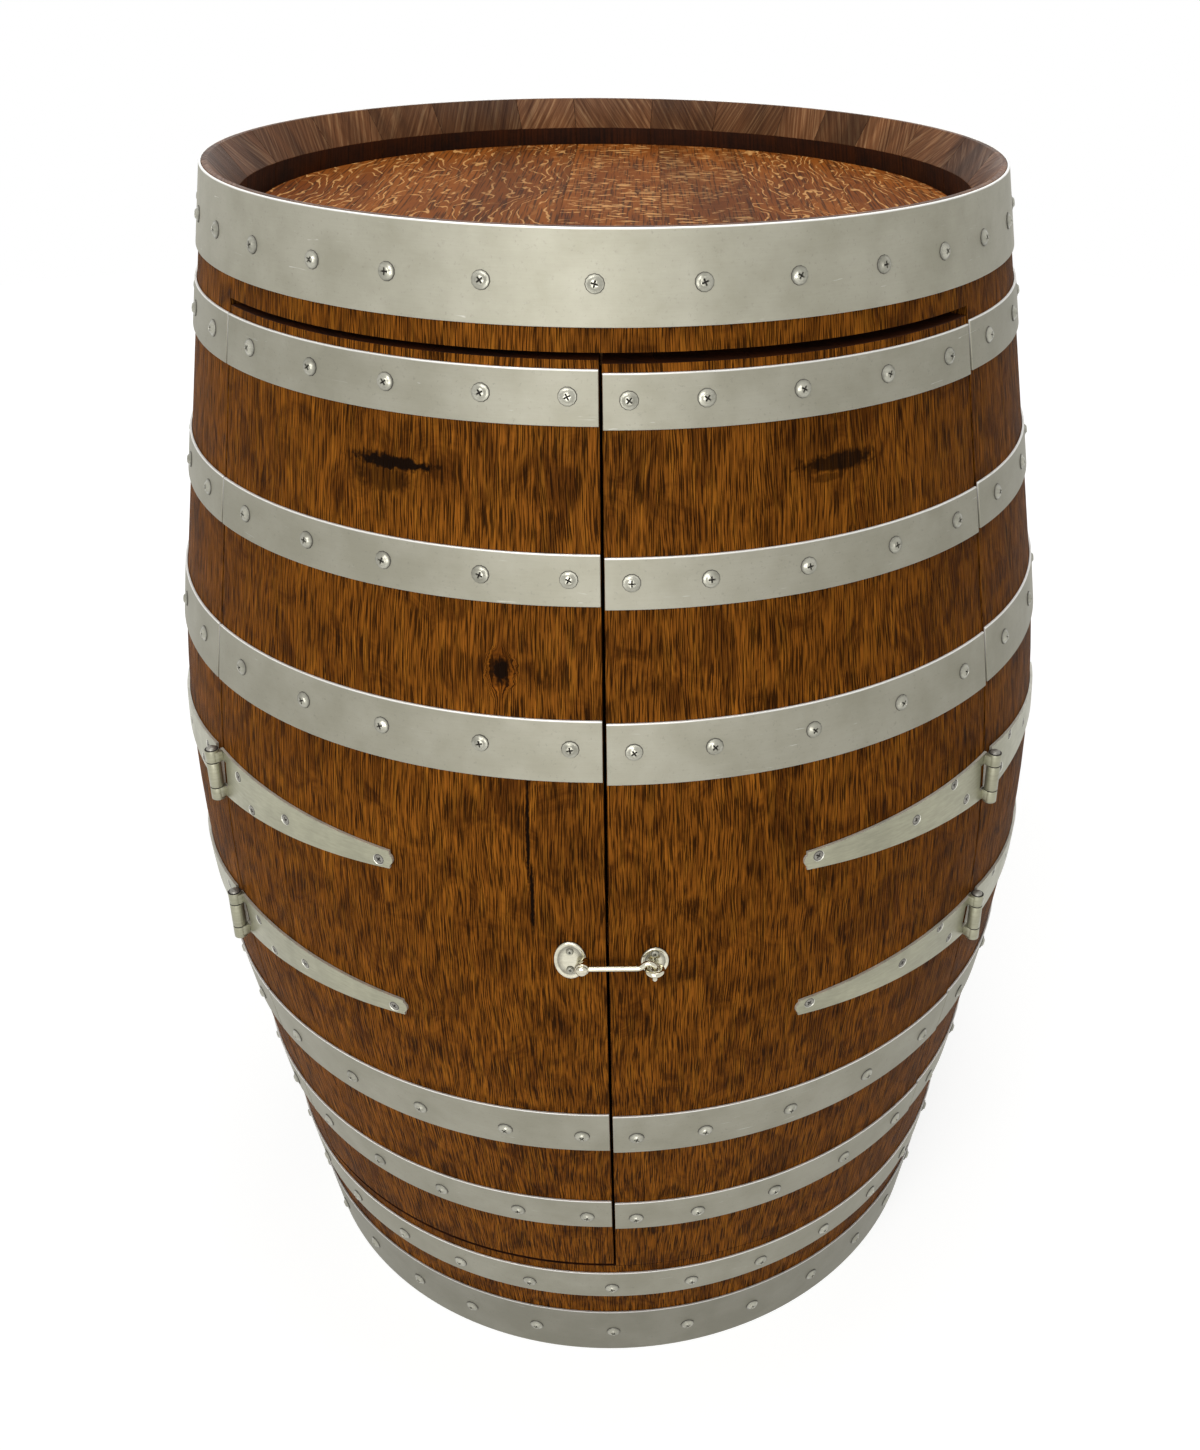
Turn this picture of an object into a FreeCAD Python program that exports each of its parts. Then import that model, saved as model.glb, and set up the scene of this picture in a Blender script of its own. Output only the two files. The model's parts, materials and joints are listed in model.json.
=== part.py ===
import FreeCAD, Part
import math
import os

import Sketcher
from FreeCAD import Placement, Rotation, Vector

# Barrel bar cabinet: an upright stave barrel whose front is cut out as two doors that swing on
# strap hinges and are held shut by a hook.
#
# Millimetres, +Z up. The origin is on the floor at the barrel's centre line and the doors face -Y.
# An angle round the barrel ("bearing") is counted in degrees from the front, -Y, towards +X.

# ---------------------------------------------------------------------------------------------
# Driving dimensions: name, value, meaning
# ---------------------------------------------------------------------------------------------

BARREL = (
    ("barrel_height", 950, "height from chime to chime"),
    ("end_radius", 290.6, "outside of the staves at a chime"),
    ("bilge_radius", 355.6, "outside of the staves at mid height"),
    ("bilge_arc_half", 175, "half height of the curved middle, above and below it the wall is conical"),
    ("stave_thickness", 25, "wall, square to the surface"),
    ("chime_land", 4, "flat at the very end of a stave"),
    ("chime_depth", 23, "height of the bevel inside the chime"),
    ("head_setback", 36, "chime to the outer face of the head"),
    ("head_thickness", 22, "boards of the head"),
    ("head_bevel_width", 12, "bevel round the rim of the head"),
    ("tongue_thickness", 8, "rim of the head that stands in the croze"),
    ("croze_depth", 5, "groove in the staves for the head"),
    ("head_clearance", 0.2, "between the head's rim and the croze"),
)

OPENING = (
    ("lintel_depth", 69.5, "chime to the underside of the lintel"),
    ("sill_height", 127, "floor to the top of the sill"),
    ("door_top_kerf", 4, "between the lintel and the doors"),
    ("door_bottom_kerf", 3, "between the doors and the sill"),
    ("door_side_kerf", 1.5, "between a door and the body, at the bilge"),
    ("door_centre_kerf", 2.1, "between the two doors, at the bilge"),
    ("right_door_drop", 2.2, "how much lower the right door hangs"),
    ("rail_thickness", 16, "stop rail behind a door's end, across the wall"),
    ("rail_gap", 0.8, "stop rail to the wall in front of it"),
    ("rail_reach", 14.5, "how far a stop rail stands out past the lintel or sill"),
    ("rail_hold", 9.5, "how far a stop rail lies against the lintel or sill"),
)

INSIDE = (
    ("shelf_height", 465, "floor to the underside of the shelf"),
    ("shelf_thickness", 20, "shelf board"),
    ("shelf_gap", 4, "shelf's edge to the wall at mid height"),
    ("cleat_height", 20, "cleats that carry the shelf"),
    ("cleat_thickness", 18, "cleat, across the wall"),
    ("cleat_gap", 0.3, "cleat to the wall"),
    ("cleat_span", 34, "degrees that a cleat covers"),
)

# Hoop: distance from the chime that it is nearer to, width, and its screws' height over its middle.
HOOP_SIZES = {
    "top_head_hoop": (0, 55, -3),
    "upper_collar_hoop": (78.5, 33, 1),
    "upper_quarter_hoop": (188, 32.5, 0.8),
    "upper_bilge_hoop": (294, 41.5, 1.8),
    "lower_bilge_hoop": (285, 42.5, -3.8),
    "lower_quarter_hoop": (185, 34, -3),
    "lower_collar_hoop": (84, 34, -4),
    "bottom_head_hoop": (0.5, 58, -0.5),
}
UPPER_HOOPS = ("top_head_hoop", "upper_collar_hoop", "upper_quarter_hoop", "upper_bilge_hoop")
RING_HOOPS = ("top_head_hoop", "lower_collar_hoop", "bottom_head_hoop")
DOOR_HOOPS = tuple(name for name in HOOP_SIZES if name not in RING_HOOPS)

HOOPS = (
    ("hoop_thickness", 1.6, "steel band"),
    ("hoop_clearance", 0.3, "hoop's edges to the wood"),
    ("hoop_end_inset", 0.3, "cut hoop's end to the edge of its stave"),
    ("hoop_lap", 46, "length where a hoop's ends lie over each other"),
    ("rivet_spacing", 22, "the two rivets of a lap"),
    ("rivet_radius", 3, "rivet shank"),
    ("rivet_head_radius", 5.5, "rivet head"),
    ("rivet_head_height", 2.2, "rivet head"),
    ("rivet_clearance", 0.05, "rivet in its hole"),
)

SCREWS = (
    ("screw_head_radius", 5.9, "hoop screw's flanged head"),
    ("screw_flange_thickness", 0.9, "its flange"),
    ("screw_flange_slope", 0.5, "slope at its flange's edge"),
    ("screw_dome_radius", 4.2, "its dome"),
    ("screw_dome_height", 1.7, "its dome above the flange"),
    ("screw_flat_radius", 2.31, "flat top of its dome"),
    ("screw_radius", 2, "hoop screw's shank"),
    ("screw_length", 14, "hoop screw's shank"),
    ("plate_screw_head_radius", 2.6, "latch plate screw"),
    ("plate_screw_head_height", 1.5, "latch plate screw"),
    ("plate_screw_flat_radius", 1.56, "flat top of its head"),
    ("plate_screw_radius", 1.25, "latch plate screw's shank"),
    ("plate_screw_length", 12, "latch plate screw's shank"),
    ("strap_screw_head_radius", 4, "hinge screw's countersunk head"),
    ("strap_screw_head_height", 2, "hinge screw's countersunk head"),
    ("strap_screw_radius", 2, "hinge screw's shank"),
    ("strap_screw_length", 18, "hinge screw, head included"),
    ("screw_clearance", 0.2, "screw in its hole"),
    ("screw_seat_gap", 0.03, "under a screw's head"),
    ("recess_length", 4.4, "arms of the cross recess, tip to tip"),
    ("recess_width", 1, "arm of the cross recess"),
    ("recess_depth", 1.4, "cross recess"),
)

HINGE = (
    ("hinge_offset", 64, "hinge's middle above or below mid height"),
    ("hinge_stand_off", 5.6, "hinge axis outside the bilge"),
    ("knuckle_radius", 5, "hinge knuckle"),
    ("knuckle_height", 42, "three knuckles together"),
    ("middle_knuckle_height", 21, "the frame leaf's knuckle"),
    ("knuckle_gap", 0.25, "between knuckles"),
    ("pin_radius", 2.5, "hinge pin"),
    ("pin_clearance", 0.06, "pin in its knuckles"),
    ("pin_head_radius", 3.8, "domed ends of the pin"),
    ("pin_head_height", 1.8, "domed ends of the pin"),
    ("strap_length", 184, "hinge axis to the tip of the nose, round the wall"),
    ("strap_root_width", 38, "strap at its knuckles"),
    ("strap_tip_width", 13.5, "strap at its shoulders"),
    ("strap_nose_radius", 5, "small round nose past the shoulders"),
    ("strap_nose_rise", 2.4, "tip of the nose past the shoulders"),
    ("strap_thickness", 2, "strap and leaf"),
    ("strap_gap", 0.4, "strap to the wood"),
    ("strap_slot", 8.5, "slot in a strap beside the other leaf's knuckle"),
    ("web_width", 5, "curl that joins a leaf to its knuckle"),
)
# Hinge screws: distance from the axis round the wall, height over the hinge's middle.
STRAP_SCREWS = ((28, 8), (45, -12), (87, -1), (173, -2))

LATCH = (
    ("latch_height", 3, "hook's pivot above mid height"),
    ("latch_plane", 9, "hook's middle plane outside the bilge"),
    ("latch_plate_thickness", 1.6, "hook plate and eye plate"),
    ("latch_plate_gap", 0.3, "plates to the wood at their middle"),
    ("hook_plate_x", -25.2, "middle of the hook plate"),
    ("hook_plate_width", 22, "hook plate, an upright oval"),
    ("hook_plate_height", 31, "hook plate, an upright oval"),
    ("hook_plate_screw", 7.6, "screws above and below the hook plate's middle"),
    ("pivot_x", -17, "hook's pivot"),
    ("pivot_radius", 2.5, "pivot stud"),
    ("pivot_boss_radius", 4, "shoulder and head of the stud"),
    ("pivot_head_height", 2, "head of the stud"),
    ("pivot_clearance", 0.1, "hook on its stud"),
    ("hook_ring_radius", 5, "ring of the hook round the stud"),
    ("hook_ring_thickness", 4.4, "ring, along the stud"),
    ("hook_rod_radius", 2, "rod of the hook"),
    ("hook_knee_x", 22, "where the rod turns up"),
    ("hook_knee_bend", 6, "bend of the rod's middle line there"),
    ("hook_tip_bend", 4, "bend of the rod's middle line over the eye"),
    ("hook_tip_drop", 9, "tip of the hook below its pivot"),
    ("eye_x", 31.8, "middle of the eye"),
    ("eye_drop", 1.8, "eye's ring below the hook's pivot"),
    ("eye_ring_radius", 5, "middle line of the eye's ring"),
    ("eye_wire_radius", 1.9, "wire of the eye"),
    ("eye_plate_width", 19, "eye plate, an upright oval"),
    ("eye_plate_height", 23, "eye plate, an upright oval"),
    ("eye_plate_screw", 6.6, "screws above and below the eye plate's middle"),
)

# Stave widths round the bilge. A door's staves are counted outwards from the gap between the
# doors, the others onwards round the barrel: right side, back, left side.
STAVES = {
    "left_door": (44.7, 75.1, 68.9, 67.0, 76.9),
    "right_door": (38.5, 68.3, 73.8, 75.1, 64.5),
    "right_side": (66, 83, 84, 86, 89, 78),
    "back": (60, 53, 81, 76, 90, 66, 99, 81),
    "left_side": (79, 104, 84, 87, 77, 58),
}
BODY_STAVES = ("right_side", "back", "left_side")

# Widths of a head's boards from left to right.
HEAD_BOARDS = (91, 80, 70, 73, 67, 75, 96)

FIRST_LAP = 3         # back joint under the first hoop's lap, where the staves are wide
CLEATS = 4            # shelf cleats round the body
RAIL_PIECES = 5       # pieces of a curved stop rail
SCREW_TURN = 37       # degrees from one screw's recess to the next
PLATE_SCREW_TURN = 45  # degrees of a latch plate screw's recess
DRILL_LAYERS = 3      # hoop thicknesses that a drill clears outside a hoop's screw seat
UP = Vector(0, 0, 1)

doc = FreeCAD.newDocument("BarrelCabinet")
sizes = doc.addObject("Spreadsheet::Sheet", "Sizes")
layout = doc.addObject("Spreadsheet::Sheet", "Layout")
sub_parts = []


# ---------------------------------------------------------------------------------------------
# Sheets
# ---------------------------------------------------------------------------------------------

def fill(sheet, rows):
    """Append rows of (alias, content, meaning) to a sheet."""
    first = 1
    while sheet.getContents("A%d" % first):
        first += 1
    for row, (alias, content, meaning) in enumerate(rows, first):
        sheet.set("A%d" % row, alias)
        sheet.set("B%d" % row, str(content))
        sheet.set("C%d" % row, meaning)
        sheet.setAlias("B%d" % row, alias)


def value(expression):
    """Number that an expression has now."""
    return float(layout.evalExpression(expression))


def driving_rows():
    """All rows of the Sizes sheet."""
    rows = []
    for table in (BARREL, OPENING, INSIDE, HOOPS, SCREWS, HINGE, LATCH):
        rows.extend(table)
    for name, (offset, width, screw) in HOOP_SIZES.items():
        rows.append((name + "_offset", offset, "from the nearer chime"))
        rows.append((name + "_width", width, "height of the band"))
        rows.append((name + "_screw", screw, "screws over the band's middle"))
    for group, widths in STAVES.items():
        for number, width in enumerate(widths, 1):
            rows.append(("%s_stave_%d" % (group, number), width, "width at the bilge"))
    for number, width in enumerate(HEAD_BOARDS, 1):
        rows.append(("head_board_%d" % number, width, "width of a head board"))
    for number, (reach, rise) in enumerate(STRAP_SCREWS, 1):
        rows.append(("strap_screw_%d_reach" % number, reach, "from the hinge axis, round the wall"))
        rows.append(("strap_screw_%d_rise" % number, rise, "over the hinge's middle"))
    return rows


def wood_radius(height):
    """Outside of the wall at a height, as an expression."""
    off = "abs(%s - Layout.middle)" % height
    cone = "Sizes.end_radius + Layout.taper * (Layout.middle - %s)" % off
    arc = "Layout.arc_centre + sqrt(Layout.arc_radius^2 - %s^2)" % off
    return "(%s > Sizes.bilge_arc_half ? %s : %s)" % (off, cone, arc)


def inner_radius(height):
    """Inside of the wall at a height, as an expression."""
    off = "abs(%s - Layout.middle)" % height
    cone = "Layout.inner_end_radius + Layout.inner_taper * (Layout.middle - %s)" % off
    arc = "Layout.arc_centre + sqrt(Layout.inner_arc_radius^2 - %s^2)" % off
    return "(%s > Layout.inner_arc_half ? %s : %s)" % (off, cone, arc)


def wall_rows():
    """Curve of the wall and the places of the heads in it."""
    return (
        ("middle", "=Sizes.barrel_height / 2", "mid height"),
        ("taper", "=(Sizes.bilge_radius - Sizes.end_radius) / (middle - Sizes.bilge_arc_half / 2)",
         "slope of the conical ends"),
        ("cone_height", "=middle - Sizes.bilge_arc_half", "height of a conical end"),
        ("cone_radius", "=Sizes.end_radius + taper * cone_height", "outside where cone meets arc"),
        ("sagitta", "=Sizes.bilge_radius - cone_radius", "rise of the arc"),
        ("arc_radius", "=(Sizes.bilge_arc_half^2 + sagitta^2) / (2 * sagitta)", "outside arc"),
        ("arc_centre", "=Sizes.bilge_radius - arc_radius", "radius of the arc's centre"),
        ("inner_arc_radius", "=arc_radius - Sizes.stave_thickness", "inside arc"),
        ("inner_arc_half", "=Sizes.bilge_arc_half * inner_arc_radius / arc_radius",
         "half height of the inside arc"),
        ("inner_cone_radius", "=arc_centre + inner_arc_radius * (arc_radius - sagitta) / arc_radius",
         "inside where cone meets arc"),
        ("inner_end_radius", "=Sizes.end_radius - Sizes.stave_thickness * sqrt(1 + taper^2)",
         "inside cone carried on to the chime"),
        ("inner_taper", "=(inner_cone_radius - inner_end_radius) / (middle - inner_arc_half)",
         "slope of the inside cones"),
        ("chime_radius", "=inner_end_radius + inner_taper * Sizes.chime_depth", "foot of the bevel"),
        ("head_bottom", "=Sizes.barrel_height - Sizes.head_setback - Sizes.head_thickness",
         "underside of the top head"),
        ("tongue_low", "=(Sizes.head_thickness - Sizes.tongue_thickness) / 2",
         "underside of the head's rim over the head's underside"),
        ("tongue_high", "=tongue_low + Sizes.tongue_thickness", "top of the head's rim"),
        ("croze_low", "=Sizes.head_setback + tongue_low - Sizes.head_clearance",
         "groove's edge nearer to the chime"),
        ("croze_high", "=Sizes.head_setback + tongue_high + Sizes.head_clearance",
         "groove's other edge"),
        ("croze_low_radius", "=inner_end_radius + inner_taper * croze_low", "wall there"),
        ("croze_high_radius", "=inner_end_radius + inner_taper * croze_high", "wall there"),
        ("croze_radius", "=croze_low_radius + Sizes.croze_depth", "bottom of the groove"),
        ("rim_radius", "=croze_radius - Sizes.head_clearance", "head's rim"),
        ("head_radius", "=inner_end_radius + inner_taper * Sizes.head_setback - Sizes.head_clearance",
         "head inside the wall"),
    )


def opening_rows():
    """Heights of the door opening, the doors, the rails and the shelf."""
    return (
        ("lintel_bottom", "=Sizes.barrel_height - Sizes.lintel_depth", "underside of the lintel"),
        ("door_top", "=lintel_bottom - Sizes.door_top_kerf", "top of the doors"),
        ("door_bottom", "=Sizes.sill_height + Sizes.door_bottom_kerf", "bottom of the doors"),
        ("side_kerf", "=Sizes.door_side_kerf / Sizes.bilge_radius * 180 / pi", "as an angle"),
        ("half_centre_kerf", "=Sizes.door_centre_kerf / Sizes.bilge_radius * 90 / pi", "as an angle"),
        ("hoop_inset", "=Sizes.hoop_end_inset / Sizes.bilge_radius * 180 / pi", "as an angle"),
        ("upper_rail_low", "=lintel_bottom - Sizes.rail_reach", "foot of the upper stop rail"),
        ("upper_rail_high", "=lintel_bottom + Sizes.rail_hold", "top of the upper stop rail"),
        ("lower_rail_low", "=Sizes.sill_height - Sizes.rail_hold", "foot of the lower stop rail"),
        ("lower_rail_high", "=Sizes.sill_height + Sizes.rail_reach", "top of the lower stop rail"),
        ("cleat_low", "=Sizes.shelf_height - Sizes.cleat_height", "foot of the cleats"),
        ("cleat_radius", "=%s - Sizes.cleat_gap" % inner_radius("cleat_low").replace("Layout.", ""),
         "outside of the cleats"),
        ("shelf_radius", "=Sizes.bilge_radius - Sizes.stave_thickness - Sizes.shelf_gap", "shelf"),
    )


def joint_rows():
    """Bearing of every joint between staves, from the widths shared out over the full circle."""
    names = ["Sizes.%s_stave_%d" % (group, number + 1)
             for group, widths in STAVES.items() for number in range(len(widths))]
    rows = [("width_total", "=" + " + ".join(names), "all staves at the bilge")]
    starts = (("left_door", "0", "-"), ("right_door", "0", "+"), ("right_side", "right_door_joint_5", "+"),
              ("back", "right_side_joint_6", "+"), ("left_side", "back_joint_8", "+"))
    for group, start, sign in starts:
        rows.append((group + "_joint_0", "=" + start, "bearing of the group's first edge"))
        for number in range(1, len(STAVES[group]) + 1):
            share = "360 * Sizes.%s_stave_%d / width_total" % (group, number)
            rows.append(("%s_joint_%d" % (group, number),
                         "=%s_joint_%d %s %s" % (group, number - 1, sign, share), "joint's bearing"))
    rows.append(("left_door_edge", "=left_door_joint_5 + side_kerf", "left door's hinge side"))
    rows.append(("right_door_edge", "=right_door_joint_5 - side_kerf", "right door's hinge side"))
    return rows


def hoop_rows(name):
    """Edges, slope and screw line of one hoop."""
    if name in UPPER_HOOPS:
        low = "=Sizes.barrel_height - Sizes.%s_offset - Sizes.%s_width" % (name, name)
    else:
        low = "=Sizes.%s_offset" % name
    edge = {end: wood_radius(name + end).replace("Layout.", "") for end in ("_low", "_high")}
    return (
        (name + "_low", low, "lower edge"),
        (name + "_high", "=%s_low + Sizes.%s_width" % (name, name), "upper edge"),
        (name + "_low_radius", "=%s + Sizes.hoop_clearance" % edge["_low"], "inside, lower edge"),
        (name + "_high_radius", "=%s + Sizes.hoop_clearance" % edge["_high"], "inside, upper edge"),
        (name + "_slope", "=({0}_high_radius - {0}_low_radius) / Sizes.{0}_width".format(name), "slope"),
        (name + "_across", "=Sizes.hoop_thickness * sqrt(1 + %s_slope^2)" % name, "level thickness"),
        (name + "_screw_height", "=({0}_low + {0}_high) / 2 + Sizes.{0}_screw".format(name), "screws"),
        (name + "_screw_radius",
         "={0}_low_radius + {0}_across + {0}_slope * ({0}_screw_height - {0}_low)".format(name),
         "outside of the hoop at its screws"),
    )


def hinge_rows():
    """Hinge geometry, with heights counted from mid height."""
    return (
        ("axis_radius", "=Sizes.bilge_radius + Sizes.hinge_stand_off", "hinge axes"),
        ("strap_arc", "=arc_radius + Sizes.strap_gap", "inside arc of a strap"),
        ("strap_radius", "=Sizes.bilge_radius + Sizes.strap_gap", "strap's inside at mid height"),
        ("strap_angle", "=Sizes.strap_length / strap_radius * 180 / pi", "whole strap"),
        ("strap_half_span", "=strap_radius * sin(strap_angle / 2)", "half strap, laid flat"),
        ("web_angle", "=Sizes.web_width / axis_radius * 180 / pi", "as an angle"),
        ("left_hinge", "=left_door_joint_5 + side_kerf / 2", "left hinges' bearing"),
        ("right_hinge", "=right_door_joint_5 - side_kerf / 2", "right hinges' bearing"),
        ("half_knuckles", "=Sizes.knuckle_height / 2", "half of the three knuckles"),
        ("half_middle_knuckle", "=Sizes.middle_knuckle_height / 2", "half of the frame's knuckle"),
        ("end_knuckle", "=half_middle_knuckle + Sizes.knuckle_gap", "where the strap's knuckles begin"),
    )


def latch_rows():
    """Places of the latch, seen from the front."""
    return (
        ("pivot_height", "=middle + Sizes.latch_height", "hook's pivot over the floor"),
        ("hook_y", "=-(Sizes.bilge_radius + Sizes.latch_plane)", "hook's middle plane"),
        ("eye_height", "=pivot_height - Sizes.eye_drop", "middle of the eye over the floor"),
        ("hook_crest", "=pivot_height + Sizes.eye_x - Sizes.hook_knee_x", "corner of the rod over the eye"),
        ("knee_tangent", "=Sizes.hook_knee_bend * tan(22.5)", "corner to the ends of the lower bend"),
        ("crest_tangent", "=Sizes.hook_tip_bend * tan(67.5)", "corner to the ends of the upper bend"),
        ("hook_tip", "=pivot_height - Sizes.hook_tip_drop", "end of the rod"),
        ("plate_radius", "=Sizes.bilge_radius + Sizes.latch_plate_gap", "underside of the latch plates"),
        ("hook_plate_bearing", "=asin(Sizes.hook_plate_x / Sizes.bilge_radius)", "hook plate"),
        ("eye_bearing", "=asin(Sizes.eye_x / Sizes.bilge_radius)", "eye plate"),
    )


def make_sheets():
    """Fill both sheets and work them out."""
    fill(sizes, driving_rows())
    doc.recompute()
    fill(layout, wall_rows())
    fill(layout, opening_rows())
    fill(layout, joint_rows())
    for name in HOOP_SIZES:
        fill(layout, hoop_rows(name))
    fill(layout, hinge_rows())
    fill(layout, latch_rows())
    doc.recompute()


# ---------------------------------------------------------------------------------------------
# Drawing helpers
# ---------------------------------------------------------------------------------------------

def set_place(sketch, geometry, position, x, y):
    """Bind one point of a sketch to a pair of expressions."""
    for kind, expression, axis in (("DistanceX", x, -2), ("DistanceY", y, -1)):
        if expression == "0":
            sketch.addConstraint(Sketcher.Constraint("PointOnObject", geometry, position, axis))
            continue
        made = Sketcher.Constraint(kind, geometry, position, value(expression))
        index = sketch.addConstraint(made)
        sketch.setExpression("Constraints[%d]" % index, expression)


def sketch_line(name, points, arcs=None, closed=True):
    """Sketch in the XZ plane through points given as pairs of expressions.

    arcs maps the number of a side to its centre and radius, as three expressions.
    """
    sketch = doc.addObject("Sketcher::SketchObject", name)
    sketch.Placement = Placement(Vector(), Rotation(Vector(1, 0, 0), 90))
    places = [Vector(value(x), value(y), 0) for x, y in points]
    sides = len(points) if closed else len(points) - 1
    ends = []
    for side in range(sides):
        start = places[side]
        stop = places[(side + 1) % len(places)]
        if arcs and side in arcs:
            ends.append(add_arc(sketch, start, stop, arcs[side]))
        else:
            sketch.addGeometry(Part.LineSegment(start, stop))
            ends.append((1, 2))
    for side in range(sides):
        following = (side + 1) % sides
        if closed or side + 1 < sides:
            joined = Sketcher.Constraint("Coincident", side, ends[side][1], following, ends[following][0])
            sketch.addConstraint(joined)
        set_place(sketch, side, ends[side][0], *points[side])
    if not closed:
        set_place(sketch, sides - 1, ends[-1][1], *points[-1])
    return sketch


def add_arc(sketch, start, stop, arc):
    """Add one arc and bind its centre; returns its point numbers at start and stop."""
    centre = Vector(value(arc[0]), value(arc[1]), 0)
    first = math.atan2(start.y - centre.y, start.x - centre.x)
    last = math.atan2(stop.y - centre.y, stop.x - centre.x)
    forward = (last - first) % (2 * math.pi) < math.pi
    circle = Part.Circle(centre, UP, value(arc[2]))
    span = (first, last) if forward else (last, first)
    index = sketch.addGeometry(Part.ArcOfCircle(circle, *span))
    bound = sketch.addConstraint(Sketcher.Constraint("DistanceX", index, 3, centre.x))
    sketch.setExpression("Constraints[%d]" % bound, arc[0])
    return (1, 2) if forward else (2, 1)


def turned(name, sketch, start, stop, height="0"):
    """Turn a sketch about the barrel's axis from one bearing to another."""
    made = doc.addObject("Part::Revolution", name)
    made.Source = sketch
    made.Axis = UP
    made.Solid = True
    made.setExpression("Angle", "%s - (%s)" % (stop, start))
    made.setExpression("Placement", turn_about("%s - 90" % start, height))
    return made


def turn_about(angle, height="0", flip=False):
    """Placement expression: a turn about the barrel's axis, after half a turn about Y if flip."""
    turn = "rotation(vector(0; 0; 1); %s)" % angle
    if flip:
        turn += " * rotation(vector(0; 1; 0); 180)"
    return "placement(vector(0; 0; %s); %s)" % (height, turn)


def rod(name, radius, length, x="0", y="0", z="0", axis=UP):
    """Cylinder from a point along an axis."""
    made = doc.addObject("Part::Cylinder", name)
    made.Placement = Placement(Vector(), Rotation(UP, axis))
    made.setExpression("Radius", radius)
    made.setExpression("Height", length)
    made.setExpression("Placement.Base.x", x)
    made.setExpression("Placement.Base.y", y)
    made.setExpression("Placement.Base.z", z)
    return made


def fused(name, pieces):
    """One solid of several."""
    made = doc.addObject("Part::MultiFuse", name)
    made.Shapes = pieces
    made.Refine = True
    return made


def cut(name, base, tool):
    """Base less tool."""
    made = doc.addObject("Part::Cut", name)
    made.Base = base
    made.Tool = tool
    return made


def common(name, base, tool):
    """What base and tool share."""
    made = doc.addObject("Part::Common", name)
    made.Base = base
    made.Tool = tool
    return made


def grouped(name, pieces):
    """Several solids side by side."""
    made = doc.addObject("Part::Compound", name)
    made.Links = pieces
    return made


def shaped(name, shape):
    """Plain feature from a shape."""
    made = doc.addObject("Part::Feature", name)
    made.Shape = shape
    return made


def sub_part(made, label):
    """Give an object the name of the piece that it is, and list it for the files."""
    made.Label = label
    sub_parts.append(made)
    return made


# ---------------------------------------------------------------------------------------------
# Screws and rivets: each is turned about Z with its seat at Z = 0 and its shank below
# ---------------------------------------------------------------------------------------------

def screw_profile(name, points):
    """Solid turned about Z from half an outline."""
    outline = sketch_line(name + "_outline", points)
    made = doc.addObject("Part::Revolution", name)
    made.Source = outline
    made.Axis = UP
    made.Solid = True
    made.setExpression("Angle", "360")
    return made


def with_recess(name, body, top):
    """Screw with a cross recess down from its top."""
    arms = []
    for number, (length, width) in enumerate((("recess_length", "recess_width"),
                                              ("recess_width", "recess_length")), 1):
        arm = doc.addObject("Part::Box", "%s_arm_%d" % (name, number))
        arm.setExpression("Length", "Sizes." + length)
        arm.setExpression("Width", "Sizes." + width)
        arm.setExpression("Height", "2 * Sizes.recess_depth")
        arm.setExpression("Placement.Base.x", "-Sizes.%s / 2" % length)
        arm.setExpression("Placement.Base.y", "-Sizes.%s / 2" % width)
        arm.setExpression("Placement.Base.z", "%s - Sizes.recess_depth" % top)
        arms.append(arm)
    return cut(name, body, fused(name + "_recess", arms))


def hoop_screw():
    """Flanged dome screw."""
    gap = "Sizes.screw_seat_gap"
    flange = "%s + Sizes.screw_flange_thickness" % gap
    top = "%s + Sizes.screw_dome_height" % flange
    body = screw_profile("hoop_screw_body", (
        ("0", top), ("Sizes.screw_flat_radius", top), ("Sizes.screw_dome_radius", flange),
        ("Sizes.screw_head_radius - Sizes.screw_flange_slope", flange),
        ("Sizes.screw_head_radius", gap),
        ("Sizes.screw_radius", gap), ("Sizes.screw_radius", "2 * Sizes.screw_radius - Sizes.screw_length"),
        ("0", "-Sizes.screw_length")))
    return with_recess("hoop_screw", body, top)


def plate_screw():
    """Small pan head screw of the latch plates."""
    gap = "Sizes.screw_seat_gap"
    top = "%s + Sizes.plate_screw_head_height" % gap
    body = screw_profile("plate_screw_body", (
        ("0", top), ("Sizes.plate_screw_flat_radius", top),
        ("Sizes.plate_screw_head_radius", "%s + Sizes.plate_screw_head_height / 2" % gap),
        ("Sizes.plate_screw_head_radius", gap), ("Sizes.plate_screw_radius", gap),
        ("Sizes.plate_screw_radius", "2 * Sizes.plate_screw_radius - Sizes.plate_screw_length"),
        ("0", "-Sizes.plate_screw_length")))
    return body


def strap_screw():
    """Countersunk hinge screw, flush with the strap."""
    body = screw_profile("strap_screw_body", (
        ("0", "0"), ("Sizes.strap_screw_head_radius", "0"),
        ("Sizes.strap_screw_radius", "-Sizes.strap_screw_head_height"),
        ("Sizes.strap_screw_radius", "2 * Sizes.strap_screw_radius - Sizes.strap_screw_length"),
        ("0", "-Sizes.strap_screw_length")))
    return with_recess("strap_screw", body, "0")


def hoop_rivet():
    """Rivet through both layers of a hoop's lap."""
    side = "Sizes.rivet_radius"
    foot = "-2 * Sizes.hoop_thickness"
    return screw_profile("hoop_rivet", (
        ("0", "Sizes.rivet_head_height"), ("Sizes.rivet_head_radius / 2", "Sizes.rivet_head_height"),
        ("Sizes.rivet_head_radius", "Sizes.rivet_clearance"), (side, "Sizes.rivet_clearance"),
        (side, foot), ("0", foot)))


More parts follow.
